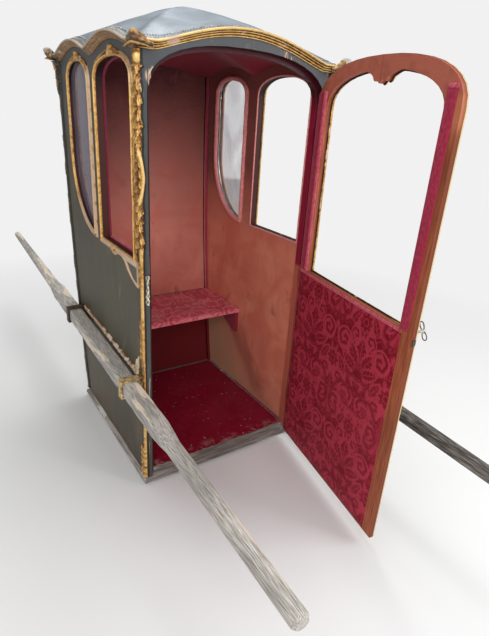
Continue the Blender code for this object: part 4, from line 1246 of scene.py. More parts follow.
@dataclass(frozen=True)
class Repeats:
    """A row of small domed heads set along a line by Geometry Nodes."""

    name: str
    spacing: float
    radius: float

    def tree(self, finish: Material) -> bpy.types.GeometryNodeTree:
        """Returns the node tree: resample, set a head at each point, realise, give the material.

        Args:
            finish: The heads' material.

        Returns:
            The tree, with the inputs Spacing and Radius.
        """
        tree = bpy.data.node_groups.new(self.name, "GeometryNodeTree")
        for socket, kind in (("Geometry", "Geometry"), ("Spacing", "Float"), ("Radius", "Float")):
            tree.interface.new_socket(socket, in_out="INPUT", socket_type=f"NodeSocket{kind}")
        tree.interface.new_socket("Geometry", in_out="OUTPUT", socket_type="NodeSocketGeometry")
        given, result = tree.nodes.new("NodeGroupInput").outputs, tree.nodes.new("NodeGroupOutput")
        nodes = Nodes(tree, "GeometryNode")
        curve = nodes.add("MeshToCurve", {"Mesh": given["Geometry"]}).outputs[0]
        spaced = {"Curve": curve, "Length": given["Spacing"]}
        points = nodes.add("CurveToPoints", spaced, mode="LENGTH").outputs
        head = nodes.add("MeshIcoSphere", {"Radius": given["Radius"], "Subdivisions": 2}).outputs["Mesh"]
        set_out = {"Points": points["Points"], "Instance": head, "Rotation": points["Rotation"]}
        heads = nodes.add("InstanceOnPoints", set_out).outputs[0]
        real = nodes.add("RealizeInstances", {"Geometry": heads}).outputs[0]
        painted = nodes.add("SetMaterial", {"Geometry": real, "Material": finish}).outputs[0]
        nodes.feed(result.inputs["Geometry"], painted)
        return tree

    def along(self, rows: Sequence[tuple[np.ndarray, float]], finish: Material) -> Piece:
        """Sets heads along closed rows of points.

        Args:
            rows: Each row's points, and the share of a spacing by which its heads are shifted.
            finish: The heads' material.

        Returns:
            A plain mesh object of all heads.
        """
        mesh = bpy.data.meshes.new(self.name + "_line")
        points, edges = [], []
        for ring, shift in rows:
            base = len(points)
            step = np.linalg.norm(ring[1] - ring[0])
            ring = ring + (np.roll(ring, -1, 0) - ring) * min(1.0, shift * self.spacing / step)
            points += [tuple(p) for p in ring]
            edges += [(base + i, base + i + 1) for i in range(len(ring) - 1)]
        mesh.from_pydata(points, edges, [])
        line = placed(self.name + "_line", mesh)
        tree = self.tree(finish)
        step = line.modifiers.new("repeats", "NODES")
        step.node_group = tree
        sizes = {"Spacing": self.spacing, "Radius": self.radius}
        for item in tree.interface.items_tree:
            if item.in_out == "INPUT" and item.name in sizes:
                step[item.identifier] = sizes[item.name]
        plain = plain_mesh(line)
        plain.name = self.name
        plain.shade_smooth()
        return placed(self.name, plain)


@dataclass(frozen=True)
class CornerStrips:
    """The carved strips down the corners: rich and gilt in front, slim and dark behind."""

    step: float = 0.0022
    leg: float = 0.0095
    side_leg: float = 0.027
    thick: float = 0.011
    fullness: float = 0.007
    wave: float = 0.006
    relief: float = 0.003
    slim_foot: float = 0.345
    slim_top: float = 0.505
    slim_run: float = 0.06
    rear_leg: float = 0.012
    rear_thick: float = 0.008
    spread: float = 0.004
    bulge: float = 0.006
    tip: float = 0.005
    wider: float = 0.008
    pitch: float = 0.052
    leaf_foot: float = 0.944
    scroll: Place = (1.084, 1.242)
    block: float = 0.18
    foot: float = 0.045
    console_foot: float = 1.464
    turn: float = 0.45

    def narrowing(self, z: np.ndarray) -> np.ndarray:
        """How much narrower the strip is: leaf tips, a scroll, a plain rod.

        Args:
            z: Heights.

        Returns:
            Shares of the full narrowing.
        """
        leaf = (z % self.pitch) / self.pitch
        low, high = self.scroll
        share = held((z - low) / (high - low))
        narrow = np.where(z > self.leaf_foot, 0.8 * leaf, 1.0 - 0.4 * leaf)
        narrow = np.where((z > low) & (z < high), 0.8 - 0.8 * np.sin(np.pi * share) ** 2, narrow)
        return np.where(z < self.block, 0.0, narrow)

    def sizes(self, z: np.ndarray, console: np.ndarray, end: End) -> tuple[np.ndarray, ...]:
        """The strip's plain sizes.

        Args:
            z: Heights.
            console: How far up the top console each height is.
            end: Front or rear.

        Returns:
            Width on the end face, width on the side, and thickness.
        """
        narrow, full = np.ones_like(z), np.zeros_like(z)
        leg, thick = np.full_like(z, self.rear_leg), np.full_like(z, self.rear_thick)
        if end is End.FRONT:
            narrow = self.narrowing(z)
            full = ease(np.maximum(self.slim_foot - z, z - self.slim_top) / self.slim_run)
            leg, thick = np.full_like(z, self.leg), self.thick - self.relief * narrow
        leg = leg - self.wave * narrow * (1.0 - console) / 2
        reach = self.side_leg - self.wave * narrow + self.spread * console
        return leg, reach, thick + self.fullness * full + self.bulge * console * (1.0 - full)

    def tips(self, z: np.ndarray) -> np.ndarray:
        """How far the leaf tips jut out over the end face.

        Args:
            z: Heights.

        Returns:
            Values from 0 to 1.
        """
        low, high = self.scroll
        count = np.floor(z / 0.031)
        share = z / 0.031 - count
        tip = (1.0 - share) ** 1.4 * (0.55 + 0.45 * np.sin(count * 2.3)) * ease(share / 0.12)
        scroll = np.sin(np.pi * held((z - low) / (high - low))) ** 1.5
        leafy = (z > self.leaf_foot) & (z < self.console_foot) & ((z < low) | (z > high))
        return np.where(leafy, tip, np.where((z > low) & (z < high), 0.9 * scroll, 0.12))

    @staticmethod
    def garland(across: np.ndarray, z: np.ndarray, pitch: float) -> np.ndarray:
        """Overlapping leaves that hang in rows, each with its tip curled out.

        Args:
            across: Places across, from -1 to 1.
            z: Heights.
            pitch: Height of a row.

        Returns:
            Relief from 0 to 1.
        """
        total = np.full(np.broadcast(across, z).shape, 0.06)
        for middle, shift, wide in ((-0.52, 0.2, 0.42), (0.02, 0.0, 0.46), (0.66, 0.5, 0.46)):
            share = (z / pitch + shift) % 1.0
            off = (across - middle - 0.1 * np.sin(z * 31.0 + 5 * middle)) / wide
            width = held(share * 3.2) ** 0.6 * (0.75 + 0.25 * np.cos(share * 19.0))
            inside = held(1.25 * (1.0 - (np.abs(off) / np.maximum(width, 0.05)) ** 2))
            lift = 0.26 + 0.74 * (1.0 - share) ** 0.8
            veins = 0.8 + 0.2 * np.cos(2 * np.pi * (2.0 * np.abs(off) - 1.5 * share))
            total = np.maximum(total, inside**0.5 * lift * veins)
        return total

    def carving(self, across: np.ndarray, z: np.ndarray) -> np.ndarray:
        """The carved relief over a front strip's whole length.

        Args:
            across: Place across, from -1 on the end face to 1 on the side.
            z: Height.

        Returns:
            Relief from 0 to 1.
        """
        low, high = self.scroll
        rod = 0.72 * np.sqrt(held(1.0 - ((across + 0.05) / 0.75) ** 2))
        block = 0.62 - 0.45 * (np.abs(np.abs(across) - 0.62) < 0.1) + 0.12 * np.cos(z * 260.0)
        relief = np.where(z > self.block, rod, block)
        relief = np.where((z > 0.088) & (z < 0.096), 0.12, relief)
        leaves = self.garland(across, z, 0.04)
        small = self.garland(across, z + 0.007, 0.03)
        clusters = ((z > 0.29) & (z < 0.7)) | ((z > 0.81) & (z < 0.9))
        relief = np.where(clusters, np.maximum(0.8 * rod, 0.85 * small), relief)
        relief = np.where(z > self.leaf_foot, leaves, relief)
        share = held((z - low) / (high - low))
        bow = 0.25 - 0.8 * np.sin(np.pi * share) ** 0.8
        limb = bell(across - bow, 0.36)
        eyes = sum(bell(np.hypot((across - 0.2) / 0.3, (share - c) / 0.07)) for c in (0.08, 0.92))
        husk = 0.75 * small * (across > bow + 0.2)
        scroll = held(np.maximum(np.maximum(limb, eyes), husk))
        relief = np.where((z > low) & (z < high), scroll, relief)
        boss = np.hypot((across - 0.02) / 0.6, (z - 1.4825) / 0.0175)
        dome = np.sqrt(held(1.0 - boss**2))
        ring = 0.5 * bell(boss - 1.22, 0.12)
        top = np.clip(np.maximum(dome, ring), 0.25, 1.0)
        return np.where(z > self.console_foot, top, relief)

    def build(self) -> None:
        """Carves the four strips."""
        top = CABIN.cornice_dip - CROWN.height - 2 * CABIN.gap
        s = np.concatenate([np.linspace(-1.0, -self.turn, 6)[:-1], np.linspace(-self.turn, self.turn, 15),
                            np.linspace(self.turn, 1.0, 9)[1:]])[None, :]
        angle = held((s + self.turn) / (2 * self.turn)) * math.pi / 2
        rim = held((1.0 - np.abs(s)) / 0.16) ** 0.6
        for end in End:
            z = np.linspace(self.foot, top, int((top - self.foot) / self.step))
            console = held(1.0 - (top - z) / (top - self.console_foot))
            leg, reach, thick = self.sizes(z, console, end)
            full = ease(np.maximum(self.slim_foot - z, z - self.slim_top) / self.slim_run)
            if end is End.FRONT:
                upper = ease((z - 0.9) / 0.06)
                leg = leg * (0.6 + 0.25 * upper) + self.tip * self.tips(z)
                reach = reach + self.wider * upper
                thick = thick * (1.0 + 0.12 * upper + 0.45 * ease((z - 1.455) / 0.05))
                reach = reach + 0.7 * self.wider * full * (1.0 - upper)
                edge_of_gold = 0.24 + 0.1 * upper + 0.42 * self.tips(z)
                gold = ease((s + edge_of_gold[:, None]) / 0.1 + 0.5)
                relief = self.carving(s, z[:, None]) * gold
            else:
                lumps = self.garland(s, z[:, None], 0.06)
                sparse = ease(2.2 * np.sin(z * 37.0 + 2 * np.sin(z * 11.0)) + 0.2)[:, None]
                relief = np.where(z[:, None] > 1.36, lumps, 0.18 + 0.6 * lumps * sparse)
                thick = thick * (1.15 + 1.1 * ease((z - 1.36) / 0.06))
                gold = np.ones_like(relief)
            out = thick[:, None] * (0.46 + 0.54 * relief) * (0.45 + 0.55 * rim)
            flat = held((np.abs(s) - self.turn) / (1.0 - self.turn))
            px = out * np.sin(angle) - flat * (s < 0) * leg[:, None]
            ahead = 1.0 if end is End.REAR else 0.7
            py = flat * (s > 0) * reach[:, None] - ahead * out * np.cos(angle)
            edge = np.array([CABIN.end_y(end, h) for h in z])
            into, gap, zero = end.value, CABIN.gap, np.zeros_like(z)
            for side in Side:
                sx = side.value
                wall = sx * (CABIN.half_width + gap)
                face = joined(wall + sx * px, edge[:, None] + into * (py - gap), z[:, None])
                behind = joined(
                    np.stack([wall + zero, wall + zero, wall - sx * leg], 1),
                    edge[:, None] + into * (np.stack([reach, zero, zero], 1) - gap), z[:, None],
                )
                name = f"corner_strip_{end.word}_{side.word}"
                piece = Mesher.tube(name + "_carved", np.concatenate([face, behind], 1), crease=70.0)
                Mesher.store(piece, "relief", np.pad(relief * rim, ((0, 0), (0, 3))) * 0.95 + 0.05)
                Mesher.store(piece, "field", 1.0 - gold, 3)
                if end is End.REAR:
                    gilded = ease((z - 1.4) / 0.03)[:, None] * (relief * rim > 0.62)
                    Mesher.store(piece, "bare", gilded, 3)
                finish = Finishes.strip if end is End.FRONT else Finishes.rear_strip
                dress(piece, finish, "gilding", name)


@dataclass(frozen=True)
class Hoods:
    """The browned gilt hoods over the corners: a wavy brim under a cap that ends in a small horn.

    The shape gives the share of the way out, the share of the height and how proud each point stands.
    """

    reach: float = 0.056
    rise: float = 0.026
    height: float = 0.014
    out: float = 0.01
    arch: float = 0.005
    horn: float = 0.012
    lift: float = 0.008
    steps: int = 73
    shape: tuple[Point, ...] = (
        (0.0, 0.0, 0.1), (0.8, 0.0, 0.6), (1.25, 0.02, 0.9), (1.45, 0.09, 1.0), (1.25, 0.17, 0.7),
        (0.72, 0.21, 0.05), (0.66, 0.3, 0.05), (0.86, 0.4, 0.4), (0.98, 0.52, 0.6), (0.9, 0.58, 0.25),
        (0.96, 0.7, 0.5), (0.9, 0.84, 0.7), (0.66, 0.95, 0.75), (0.35, 1.0, 0.6), (0.0, 1.0, 0.3),
    )

    def build(self) -> None:
        """Builds the four hoods; the left front one is blunter, and its gilding is whole."""
        step = np.linspace(-1.0, 1.0, self.steps)[:, None]
        out, up, proud = np.array(self.shape).T
        along = np.abs(step)
        for end in End:
            for side in Side:
                into, sx = end.value, side.value
                near = end is End.FRONT and side is Side.LEFT
                cap, tip = (0.72, 0.15) if near else (1.0, 1.0)
                crown = ease(1.0 - along) ** cap
                horn = tip * crown**4
                foot = CABIN.cornice_dip - CROWN.height + self.arch * crown
                foot = foot + 0.0012 * np.sin(along * 14.0) * (1 - crown)
                tall = self.height + (self.rise - self.arch) * crown
                reach = self.out * out * (0.6 + 0.4 * crown)
                reach = reach + self.horn * horn * up**1.6 * np.minimum(out, 1.0)
                fold = reach - (self.reach + reach) * along
                far = CROWN.out + CABIN.gap
                x = sx * (CABIN.half_width + far) + sx * np.where(step <= 0, fold, reach)
                y = CABIN.end_y(end, CABIN.cornice_dip) - into * far - into * np.where(step >= 0, fold, reach)
                rings = joined(x, y, foot + tall * up + self.lift * horn * up**2)
                name = f"corner_hood_{end.word}_{side.word}"
                piece = Mesher.tube(name + "_gilt", rings, crease=45.0)
                Mesher.store(piece, "relief", proud + 0.25 * wobble(rings, 0.018))
                if not near:
                    Mesher.store(piece, "bare", 0.9 * (along < 0.25) * (up > 0.6))
                dress(piece, Finishes.hood, "gilding", name)


class Plate:
    """The outlines of a flat CAD plate, read from its own faces."""

    def __init__(self, node: str, axis: int, sign: int, turn: Matrix | None = None) -> None:
        """Reads the plate.

        Args:
            node: The CAD node.
            axis: The axis that the visible face looks along.
            sign: Which way it looks.
            turn: Brings the node into the frame that the face is drawn in.
        """
        shape = bmesh.new()
        shape.from_mesh(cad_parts[node].data)
        bmesh.ops.remove_doubles(shape, verts=shape.verts, dist=1e-5)
        if turn:
            bmesh.ops.transform(shape, matrix=turn, verts=shape.verts)
        shape.normal_update()
        self.axis, self.sign = axis, sign
        self.level = max(v.co[axis] * sign for v in shape.verts) * sign
        self.back = min(v.co[axis] * sign for v in shape.verts) * sign
        flat = [
            f for f in shape.faces
            if f.normal[axis] * sign > 0.99 and abs(f.calc_center_median()[axis] - self.level) < 2e-4
        ]
        chosen = set(flat)
        links: dict[int, list[int]] = {}
        for face in flat:
            for edge in face.edges:
                if sum(other in chosen for other in edge.link_faces) == 1:
                    a, b = (v.index for v in edge.verts)
                    links.setdefault(a, []).append(b)
                    links.setdefault(b, []).append(a)
        self.loops = []
        while links:
            start = next(iter(links))
            loop, here = [start], start
            while links.get(here):
                there = links[here].pop()
                links[there].remove(here)
                loop.append(there)
                here = there
            for key in set(loop):
                if not links.get(key):
                    links.pop(key, None)
            shape.verts.ensure_lookup_table()
            points = np.array([shape.verts[i].co for i in loop[:-1]], float)
            self.loops.append(np.delete(points, axis, 1))
        shape.free()
        self.loops.sort(key=lambda loop: -np.ptp(loop, 0).sum())

    def lift(self, points: np.ndarray) -> np.ndarray:
        """Returns points given as across, up and height above the plate's back in the row frame."""
        return np.insert(points[:, :2], self.axis, self.back + self.sign * points[:, 2], 1)

    @staticmethod
    def around(loop: np.ndarray, centre: np.ndarray, angles: np.ndarray) -> np.ndarray:
        """Reads a star-shaped outline at given angles round a centre.

        Args:
            loop: The outline, one row each.
            centre: The middle that it is seen from.
            angles: The angles.

        Returns:
            One point for each angle.
        """
        step = np.arctan2(loop[:, 1] - centre[1], loop[:, 0] - centre[0])
        order = np.argsort(step)
        turns = np.concatenate([step[order] - 2 * np.pi, step[order], step[order] + 2 * np.pi])
        points = np.tile(loop[order], (3, 1))
        return np.stack([np.interp(angles, turns, points[:, k]) for k in (0, 1)], 1)

    @staticmethod
    def even(loop: np.ndarray, count: int) -> np.ndarray:
        """Spaces points evenly along a closed outline."""
        closed = np.concatenate([loop, loop[:1]])
        run = run_of(closed)
        at = np.linspace(0.0, run[-1], count, endpoint=False)
        return np.stack([np.interp(at, run, closed[:, k]) for k in (0, 1)], 1)


@dataclass(frozen=True)
class Ribbon:
    """A carved moulding laid round an opening, between two outlines."""

    depth: float = 0.0105
    count: int = 420
    across: int = 17
    wear: float = 0.15

    def rings(
        self, inner: np.ndarray, outer: np.ndarray, crests: Sequence[Point]
    ) -> tuple[np.ndarray, np.ndarray, np.ndarray]:
        """Heights over the moulding.

        Args:
            inner: The opening's edge, one point for each station.
            outer: The outer edge, paired with it.
            crests: Centre and radius of each carved knot.

        Returns:
            Points as across, up and height for each station, their relief, and where wall shows between.
        """
        share = np.linspace(0.0, 1.0, self.across)[None, :, None]
        points = inner[:, None] + (outer - inner)[:, None] * share
        width = np.linalg.norm(outer - inner, axis=1)[:, None]
        far = share[..., 0] * width
        roll = bell(far - 0.0045, 0.0035)
        lip = bell(width - far - 0.0035, 0.0028)
        hollow = 0.3 + 0.18 * np.cos(held(far / np.maximum(width, 1e-6)) * np.pi)
        height = np.maximum(np.maximum(0.95 * roll, 0.66 * lip), hollow)
        field = ease((far - 0.027) / 0.003) * ease((width - far - 0.013) / 0.003)
        height = height * (1.0 - 0.75 * field)
        for across, up, radius in crests:
            dx, dz = points[..., 0] - across, points[..., 1] - up
            reach, angle = np.hypot(dx, dz) / radius, np.arctan2(dz, dx)
            lobes = 0.5 + 0.5 * np.cos(5 * angle + 1.2)
            knot = held(1.15 - reach) ** 0.4 * (0.45 + 0.55 * lobes)
            knot = np.maximum(knot, 0.9 * bell(reach, 0.3))
            height = np.where(reach < 1.1, np.maximum(height * 0.6, knot), height)
            field = field * (reach > 1.05)
        rim = held(np.minimum(far, width - far) / 0.0016) ** 0.5
        return np.concatenate([points, (height * rim)[..., None]], 2), height, field

    def build(self, name: str, plate: Plate, crests: Sequence[Point] = ()) -> Piece:
        """Builds the closed moulding.

        Args:
            name: The piece's name.
            plate: The CAD plate whose two outlines it runs between.
            crests: Centre and radius of each carved knot.

        Returns:
            The object, with its relief stored.
        """
        outer, inner = plate.loops[:2]
        middle = np.array([np.ptp(inner[:, k]) / 2 + inner[:, k].min() for k in (0, 1)])
        dense = Plate.even(inner, self.count)
        step = np.sort(np.unwrap(np.arctan2(dense[:, 1] - middle[1], dense[:, 0] - middle[0])))
        first, second = Plate.around(inner, middle, step), Plate.around(outer, middle, step)
        face, relief, field = self.rings(first, second, crests)
        face[..., 2] = np.clip(face[..., 2], 0.08, 1.0) * self.depth
        under = face[:, ::-1].copy()[:, [0, -1]]
        under[..., 2] = 0.0
        rings = plate.lift(np.concatenate([face, under], 1).reshape(-1, 3)).reshape(self.count, -1, 3)
        piece = Mesher.tube(name, rings, loop=True, crease=60.0)
        Mesher.store(piece, "relief", relief + self.wear * wobble(rings[:, : self.across], 0.045), 2)
        Mesher.store(piece, "field", field, 2)
        return piece


def piping(name: str, line: np.ndarray, radius: float, closed: bool, sides: int = 10) -> Piece:
    """A rolled band along a line.

    Args:
        name: The piece's name.
        line: The points along its middle.
        radius: Its radius.
        closed: The last point joins the first.
        sides: Points round it.

    Returns:
        The new object.
    """
    if closed:
        ahead = np.roll(line, -1, 0) - np.roll(line, 1, 0)
    else:
        ahead = np.gradient(line, axis=0)
    ahead /= np.linalg.norm(ahead, axis=1, keepdims=True)
    guide = np.array([0.31, 0.17, 0.93]) if abs(ahead[:, 2]).mean() < 0.8 else np.array([0.9, 0.3, 0.1])
    first = np.cross(ahead, guide)
    first /= np.linalg.norm(first, axis=1, keepdims=True)
    second = np.cross(ahead, first)
    angle = np.linspace(0, 2 * np.pi, sides, endpoint=False)
    swell = radius * (1.0 + 0.12 * wobble(line, 0.07))[:, None, None]
    rings = line[:, None] + swell * (
        first[:, None] * np.cos(angle)[None, :, None] + second[:, None] * np.sin(angle)[None, :, None]
    )
    return Mesher.tube(name, rings, loop=closed, crease=70.0)


@dataclass(frozen=True)
class WindowDressing:
    """The side windows: worn gilt mouldings outside, rolled silk inside, old glass behind.

    A crest is given by its way along, its way up from the moulding's edge, and its half width.
    """

    top_crest: Point = (0.0, 0.016, 0.033)
    low_crest: Point = (0.048, -0.022, 0.031)
    plain_roll: float = 0.0034
    front_left_roll: float = 0.0048
    rear_right_roll: float = 0.0095

    def roll_radius(self, side: Side, quarter: bool) -> float:
        """Returns the silk roll's radius round the front window or the quarter window of a side."""
        if quarter:
            return self.rear_right_roll if side is Side.RIGHT else self.plain_roll
        return self.front_left_roll if side is Side.LEFT else self.plain_roll

    def build(self) -> None:
        """Dresses the four windows."""
        for side in Side:
            sx = side.value
            for row in ("front", "rear"):
                node = f"window_moulding_{row}_{side.word}"
                plate = Plate(node, 0, sx)
                inner = plate.loops[1]
                middle = (inner[:, 0].min() + inner[:, 0].max()) / 2
                along, up, wide = self.top_crest
                crests = [(middle + along, inner[:, 1].max() + up, wide)]
                if row == "front":
                    along, up, wide = self.low_crest
                    crests.append((middle + along, inner[:, 1].min() + up, wide))
                piece = Ribbon().build(node + "_carved", plate, crests)
                self.gesso(piece, row)
                dress(piece, Finishes.gilt, "gilding", node)
            walls = Plate(f"side_frame_{side.word}", 0, -sx)
            for loop in walls.loops[1:3]:
                quarter = loop[:, 0].max() > 0.2
                row = "rear" if quarter else "front"
                line = Plate.even(loop, 260)
                thick = self.roll_radius(side, quarter)
                if thick == self.rear_right_roll:
                    centre = (line.max(0) + line.min(0)) / 2
                    line = centre + (line - centre) * (1.0 - 2 * 0.005 / np.ptp(line, axis=0))
                x = np.full(len(line), walls.level - sx * 0.7 * thick)
                line = joined(x, line[:, 0], line[:, 1])
                roll = piping(f"window_roll_{row}_{side.word}", line, thick, True)
                # The left side's rolls take the darker velvet, painted shade; the right side's the faded pink
                # roll.
                cloth = Finishes.shaded_velvet if side is Side.LEFT else Finishes.pale_roll
                dress(roll, cloth, "faded_silk")
                if side is Side.LEFT and not quarter:
                    y = np.linspace(loop[:, 0].min() + 0.01, loop[:, 0].max() - 0.01, 90)
                    low = loop[:, 1].min() + 0.0035
                    sill = joined(walls.level - sx * 0.005, y, low)
                    dress(piping("window_sill_braid_left", sill, 0.0055, False), Finishes.pink, "faded_silk")
            pane = Finishes.glass if side is Side.LEFT else Finishes.clear_glass
            finish_node(pane, f"rear_glass_{side.word}")

    @staticmethod
    def gesso(piece: Piece, row: str) -> None:
        """Marks where the gilding has gone to pale ground: under the front window and down the sweep.

        Args:
            piece: The moulding.
            row: The window's row, front or rear.
        """
        points = np.array([v.co for v in piece.data.vertices])
        if row == "front":
            bare = ease((0.897 - points[:, 2]) / 0.012)
            bare *= 1.0 - ease(1.3 - np.hypot(points[:, 1] + 0.092, points[:, 2] - 0.868) / 0.03)
            shoulder = ease((points[:, 2] - 1.4) / 0.03) * ease((-0.21 - points[:, 1]) / 0.02)
            bare = np.maximum(bare, 0.45 * shoulder)
        else:
            bare = ease((1.04 - points[:, 2]) / 0.1) * ease((points[:, 1] - 0.105) / 0.02)
            limb = ease((0.109 - points[:, 1]) / 0.004) * ease(1.2 + 2.0 * wobble(points, 0.06))
            bare = np.maximum(bare, 0.85 * limb)
        Mesher.store(piece, "bare", bare)


@dataclass(frozen=True)
class Linings:
    """The silk inside the cabin: walls, back, ceiling, floor, seat and their piping."""

    thin: float = 0.0012
    drop: float = 0.0268
    foot: float = 0.0525
    front: float = -0.3195
    half_width: float = 0.3235
    seat_half_width: float = 0.3238
    floor_half_width: float = 0.3125
    floor_front: float = -0.3425
    floor_back: float = 0.3325
    corner_cord: float = 0.0052
    floor_cord: float = 0.0028
    seam_cord: float = 0.0017

    def wall(self, side: Side) -> None:
        """One side's silk with its two window openings.

        Args:
            side: Which side.
        """
        sx = side.value
        walls = Plate(f"side_frame_{side.word}", 0, -sx)
        curve = bpy.data.curves.new("lining", "CURVE")
        curve.dimensions, curve.fill_mode, curve.extrude = "2D", "BOTH", self.thin / 2
        rear = [(CABIN.back_y(z) - 0.0412, z) for z in np.linspace(self.foot, CABIN.cornice_dip - 0.029, 24)]
        top = np.linspace(rear[-1][0] - 0.002, self.front, 60)
        head = list(zip(top, CROWN.line("side", top) - self.drop))
        outline = [(self.front, self.foot)] + rear + head
        for loop in [outline] + [Plate.even(l, 120) for l in walls.loops[1:3]]:
            spline = curve.splines.new("POLY")
            spline.points.add(len(loop) - 1)
            for point, (y, z) in zip(spline.points, loop):
                point.co = (y, z, 0.0, 1.0)
            spline.use_cyclic_u = True
        flat = plain_mesh(placed("lining", curve))
        shape = bmesh.new()
        shape.from_mesh(flat)
        bmesh.ops.remove_doubles(shape, verts=shape.verts, dist=1e-6)
        points = np.array([v.co for v in shape.verts])
        shape.verts.index_update()
        faces = [[v.index for v in f.verts] for f in shape.faces]
        shape.free()
        x = sx * (CABIN.half_width - CABIN.side_thickness - 0.0004) - sx * (points[:, 2] + self.thin / 2)
        points = joined(x, points[:, 0], points[:, 1])
        piece = Mesher.solid(f"wall_silk_{side.word}", points, faces, 30.0)
        dress(piece, Finishes.side_silk, "faded_silk")
        wall = [f"side_frame_{side.word}"]

    def back(self) -> None:
        """The back's silk, with a faint middle seam, turned round the rear posts."""
        corner = [(-0.3236, 0.0413), (-0.3108, 0.0413), (-0.3102, 0.04), (-0.3102, 0.029), (-0.3096, 0.0284)]
        out, deep = np.array(corner).T
        across = np.linspace(-0.3, 0.3, 81)
        x = np.concatenate([out, across, -out[::-1]])
        inset = np.concatenate([deep, np.full(81, 0.0282), deep[::-1]])
        seam = 0.0006 * bell(x, 0.004)
        share = np.linspace(0.0, 1.0, 90)[:, None]
        z = self.foot + share * (CROWN.line("back", x) - self.drop - self.foot)
        edge = np.vectorize(CABIN.back_y)(z)
        gx = np.broadcast_to(x, z.shape)
        top = joined(gx, edge - inset - seam, z)
        top[:, 6:-6, 1] -= 0.0008 * (0.5 + 0.5 * wobble(top[:, 6:-6], 0.22))
        under = joined(gx, edge - inset + 0.0009, z)
        piece = Mesher.slab("back_silk", top, under, 40.0)
        dress(piece, Finishes.silk, "faded_silk")

    def ceiling(self) -> None:
        """The crimson cloth under the roof, hipped like the roof and following the cornice."""
        rear = CABIN.back_y(1.5) - 0.03
        x = np.linspace(-self.half_width, self.half_width, 61)
        y = np.linspace(self.front + 0.001, rear, 71)
        gx, gy = np.meshgrid(x, y)
        middle, half = y.mean(), np.ptp(y) / 2
        sx, sy = gx / self.half_width, (gy - middle) / half
        far = np.maximum(np.maximum(np.abs(sx), np.abs(sy)), 1e-6)
        side = CROWN.line("side", middle + sy / far * half)
        over = sx / far * self.half_width
        ends = np.where(sy < 0, CROWN.line("front", over), CROWN.line("back", over))
        edge = np.where(np.abs(sy) > np.abs(sx), ends, side) - CABIN.cornice_dip
        climb = CROWN.straight * (1 - far) + (1 - CROWN.straight) * np.sin(np.pi / 2 * (1 - far))
        height = CABIN.cornice_dip - self.drop + edge * far**2 + 0.115 * climb
        top = joined(gx, gy, height + 0.002 * wobble(joined(gx, gy, gx), 0.21) * (1 - far))
        under = top + (0.0, 0.0, 0.0014)
        piece = Mesher.slab("ceiling_cloth", top, under, 60.0)
        dress(piece, Finishes.dark_silk, "crimson_damask")

    def floor(self) -> None:
        """The floor cloth, ragged and dusty at its front edge."""
        x, y = np.linspace(-self.floor_half_width, self.floor_half_width, 105), np.linspace(0.0, 1.0, 90)
        ragged = self.floor_front + 0.0055 * np.abs(np.sin(x * 91.0)) + 0.0035 * np.sin(x * 263.0) ** 2
        gy = ragged[None, :] + y[:, None] * (self.floor_back - ragged[None, :])
        gx = np.broadcast_to(x, gy.shape)
        top = joined(gx, gy, 0.0516)
        top[..., 2] += 0.0007 * (0.5 + 0.5 * wobble(top, 0.13)) * ease((gy - self.floor_front) / 0.03)
        under = top.copy()
        under[..., 2] = CABIN.floor_top + 0.0002
        piece = Mesher.slab("floor_cloth", top, under, 50.0)
        Mesher.store(piece, "figure", 0.6 * DAMASK.value(gx, gy))
        dress(piece, Finishes.floor_cloth, "crimson_damask")
        finish_node(Finishes.sill, "floor_board")

    def seat(self) -> None:
        """The seat's damask, turned down over the board's front edge."""
        rear = CABIN.back_y(CABIN.seat_top) - 0.0425
        front = CABIN.seat_front_y
        deep = [(rear - (rear - front - 0.002) * t, 0.4663) for t in np.linspace(0.0, 1.0, 110)]
        turn = [(front - 0.001, 0.4658), (front - 0.0018, 0.4646), (front - 0.002, 0.462)]
        drop = [(front - 0.002, 0.462 - 0.0185 * t) for t in np.linspace(0.15, 1.0, 8)]
        path = np.array(deep + turn + drop)
        x = np.linspace(-self.seat_half_width, self.seat_half_width, 211)
        gx = np.broadcast_to(x, (len(path), len(x)))
        top = joined(gx, path[:, :1], path[:, 1:])
        top[: len(deep), :, 2] += 0.0008 * (0.5 + 0.5 * wobble(top[: len(deep)], 0.15))
        under = top.copy()
        under[: len(deep), :, 2] = CABIN.seat_top + 0.0002
        under[len(deep) :, :, 1] = front - 0.0003
        under[len(deep) : len(deep) + 2, :, 2] = CABIN.seat_top + 0.0001
        piece = Mesher.slab("seat_damask", top, under, 50.0)
        run = run_of(path)
        figure = DAMASK.value(gx + 0.07, np.broadcast_to(run[:, None], gx.shape))
        Mesher.store(piece, "figure", figure)
        dress(piece, Finishes.seat_damask, "crimson_damask")
        across, wave = np.linspace(-0.3225, 0.3225, 160), np.sin(np.linspace(0, 160, 160))
        seam = joined(across, front - 0.0022, 0.464 + 0.0004 * wave)
        dress(piping("seat_seam", seam, self.seam_cord, False, 8), Finishes.pink, "crimson_damask")
        finish_node(Finishes.dark_silk, "seat_board")
        finish_node(Finishes.dark_silk, "seat_cleat_left", "seat_cleat_right")

    def cords(self) -> None:
        """The crimson piping down the corners and along the back."""
        for side in Side:
            sx = side.value
            z = np.linspace(0.47, CABIN.cornice_dip - 0.03, 120)
            rear = np.array([CABIN.back_y(h) for h in z]) - 0.0455
            tall = joined(sx * 0.3175, rear, z)
            low = joined(sx * 0.3205, np.linspace(-0.316, 0.071, 90), 0.0555)
            for name, line, cord in (("corner", tall, self.corner_cord), ("floor", low, self.floor_cord)):
                cord = piping(f"{name}_piping_{side.word}", line, cord, False)
                dress(cord, Finishes.velvet, "crimson_damask")

    def build(self) -> None:
        """Lines the cabin."""
        for side in Side:
            self.wall(side)
        self.back()
        self.ceiling()
        self.floor()
        self.seat()
        self.cords()


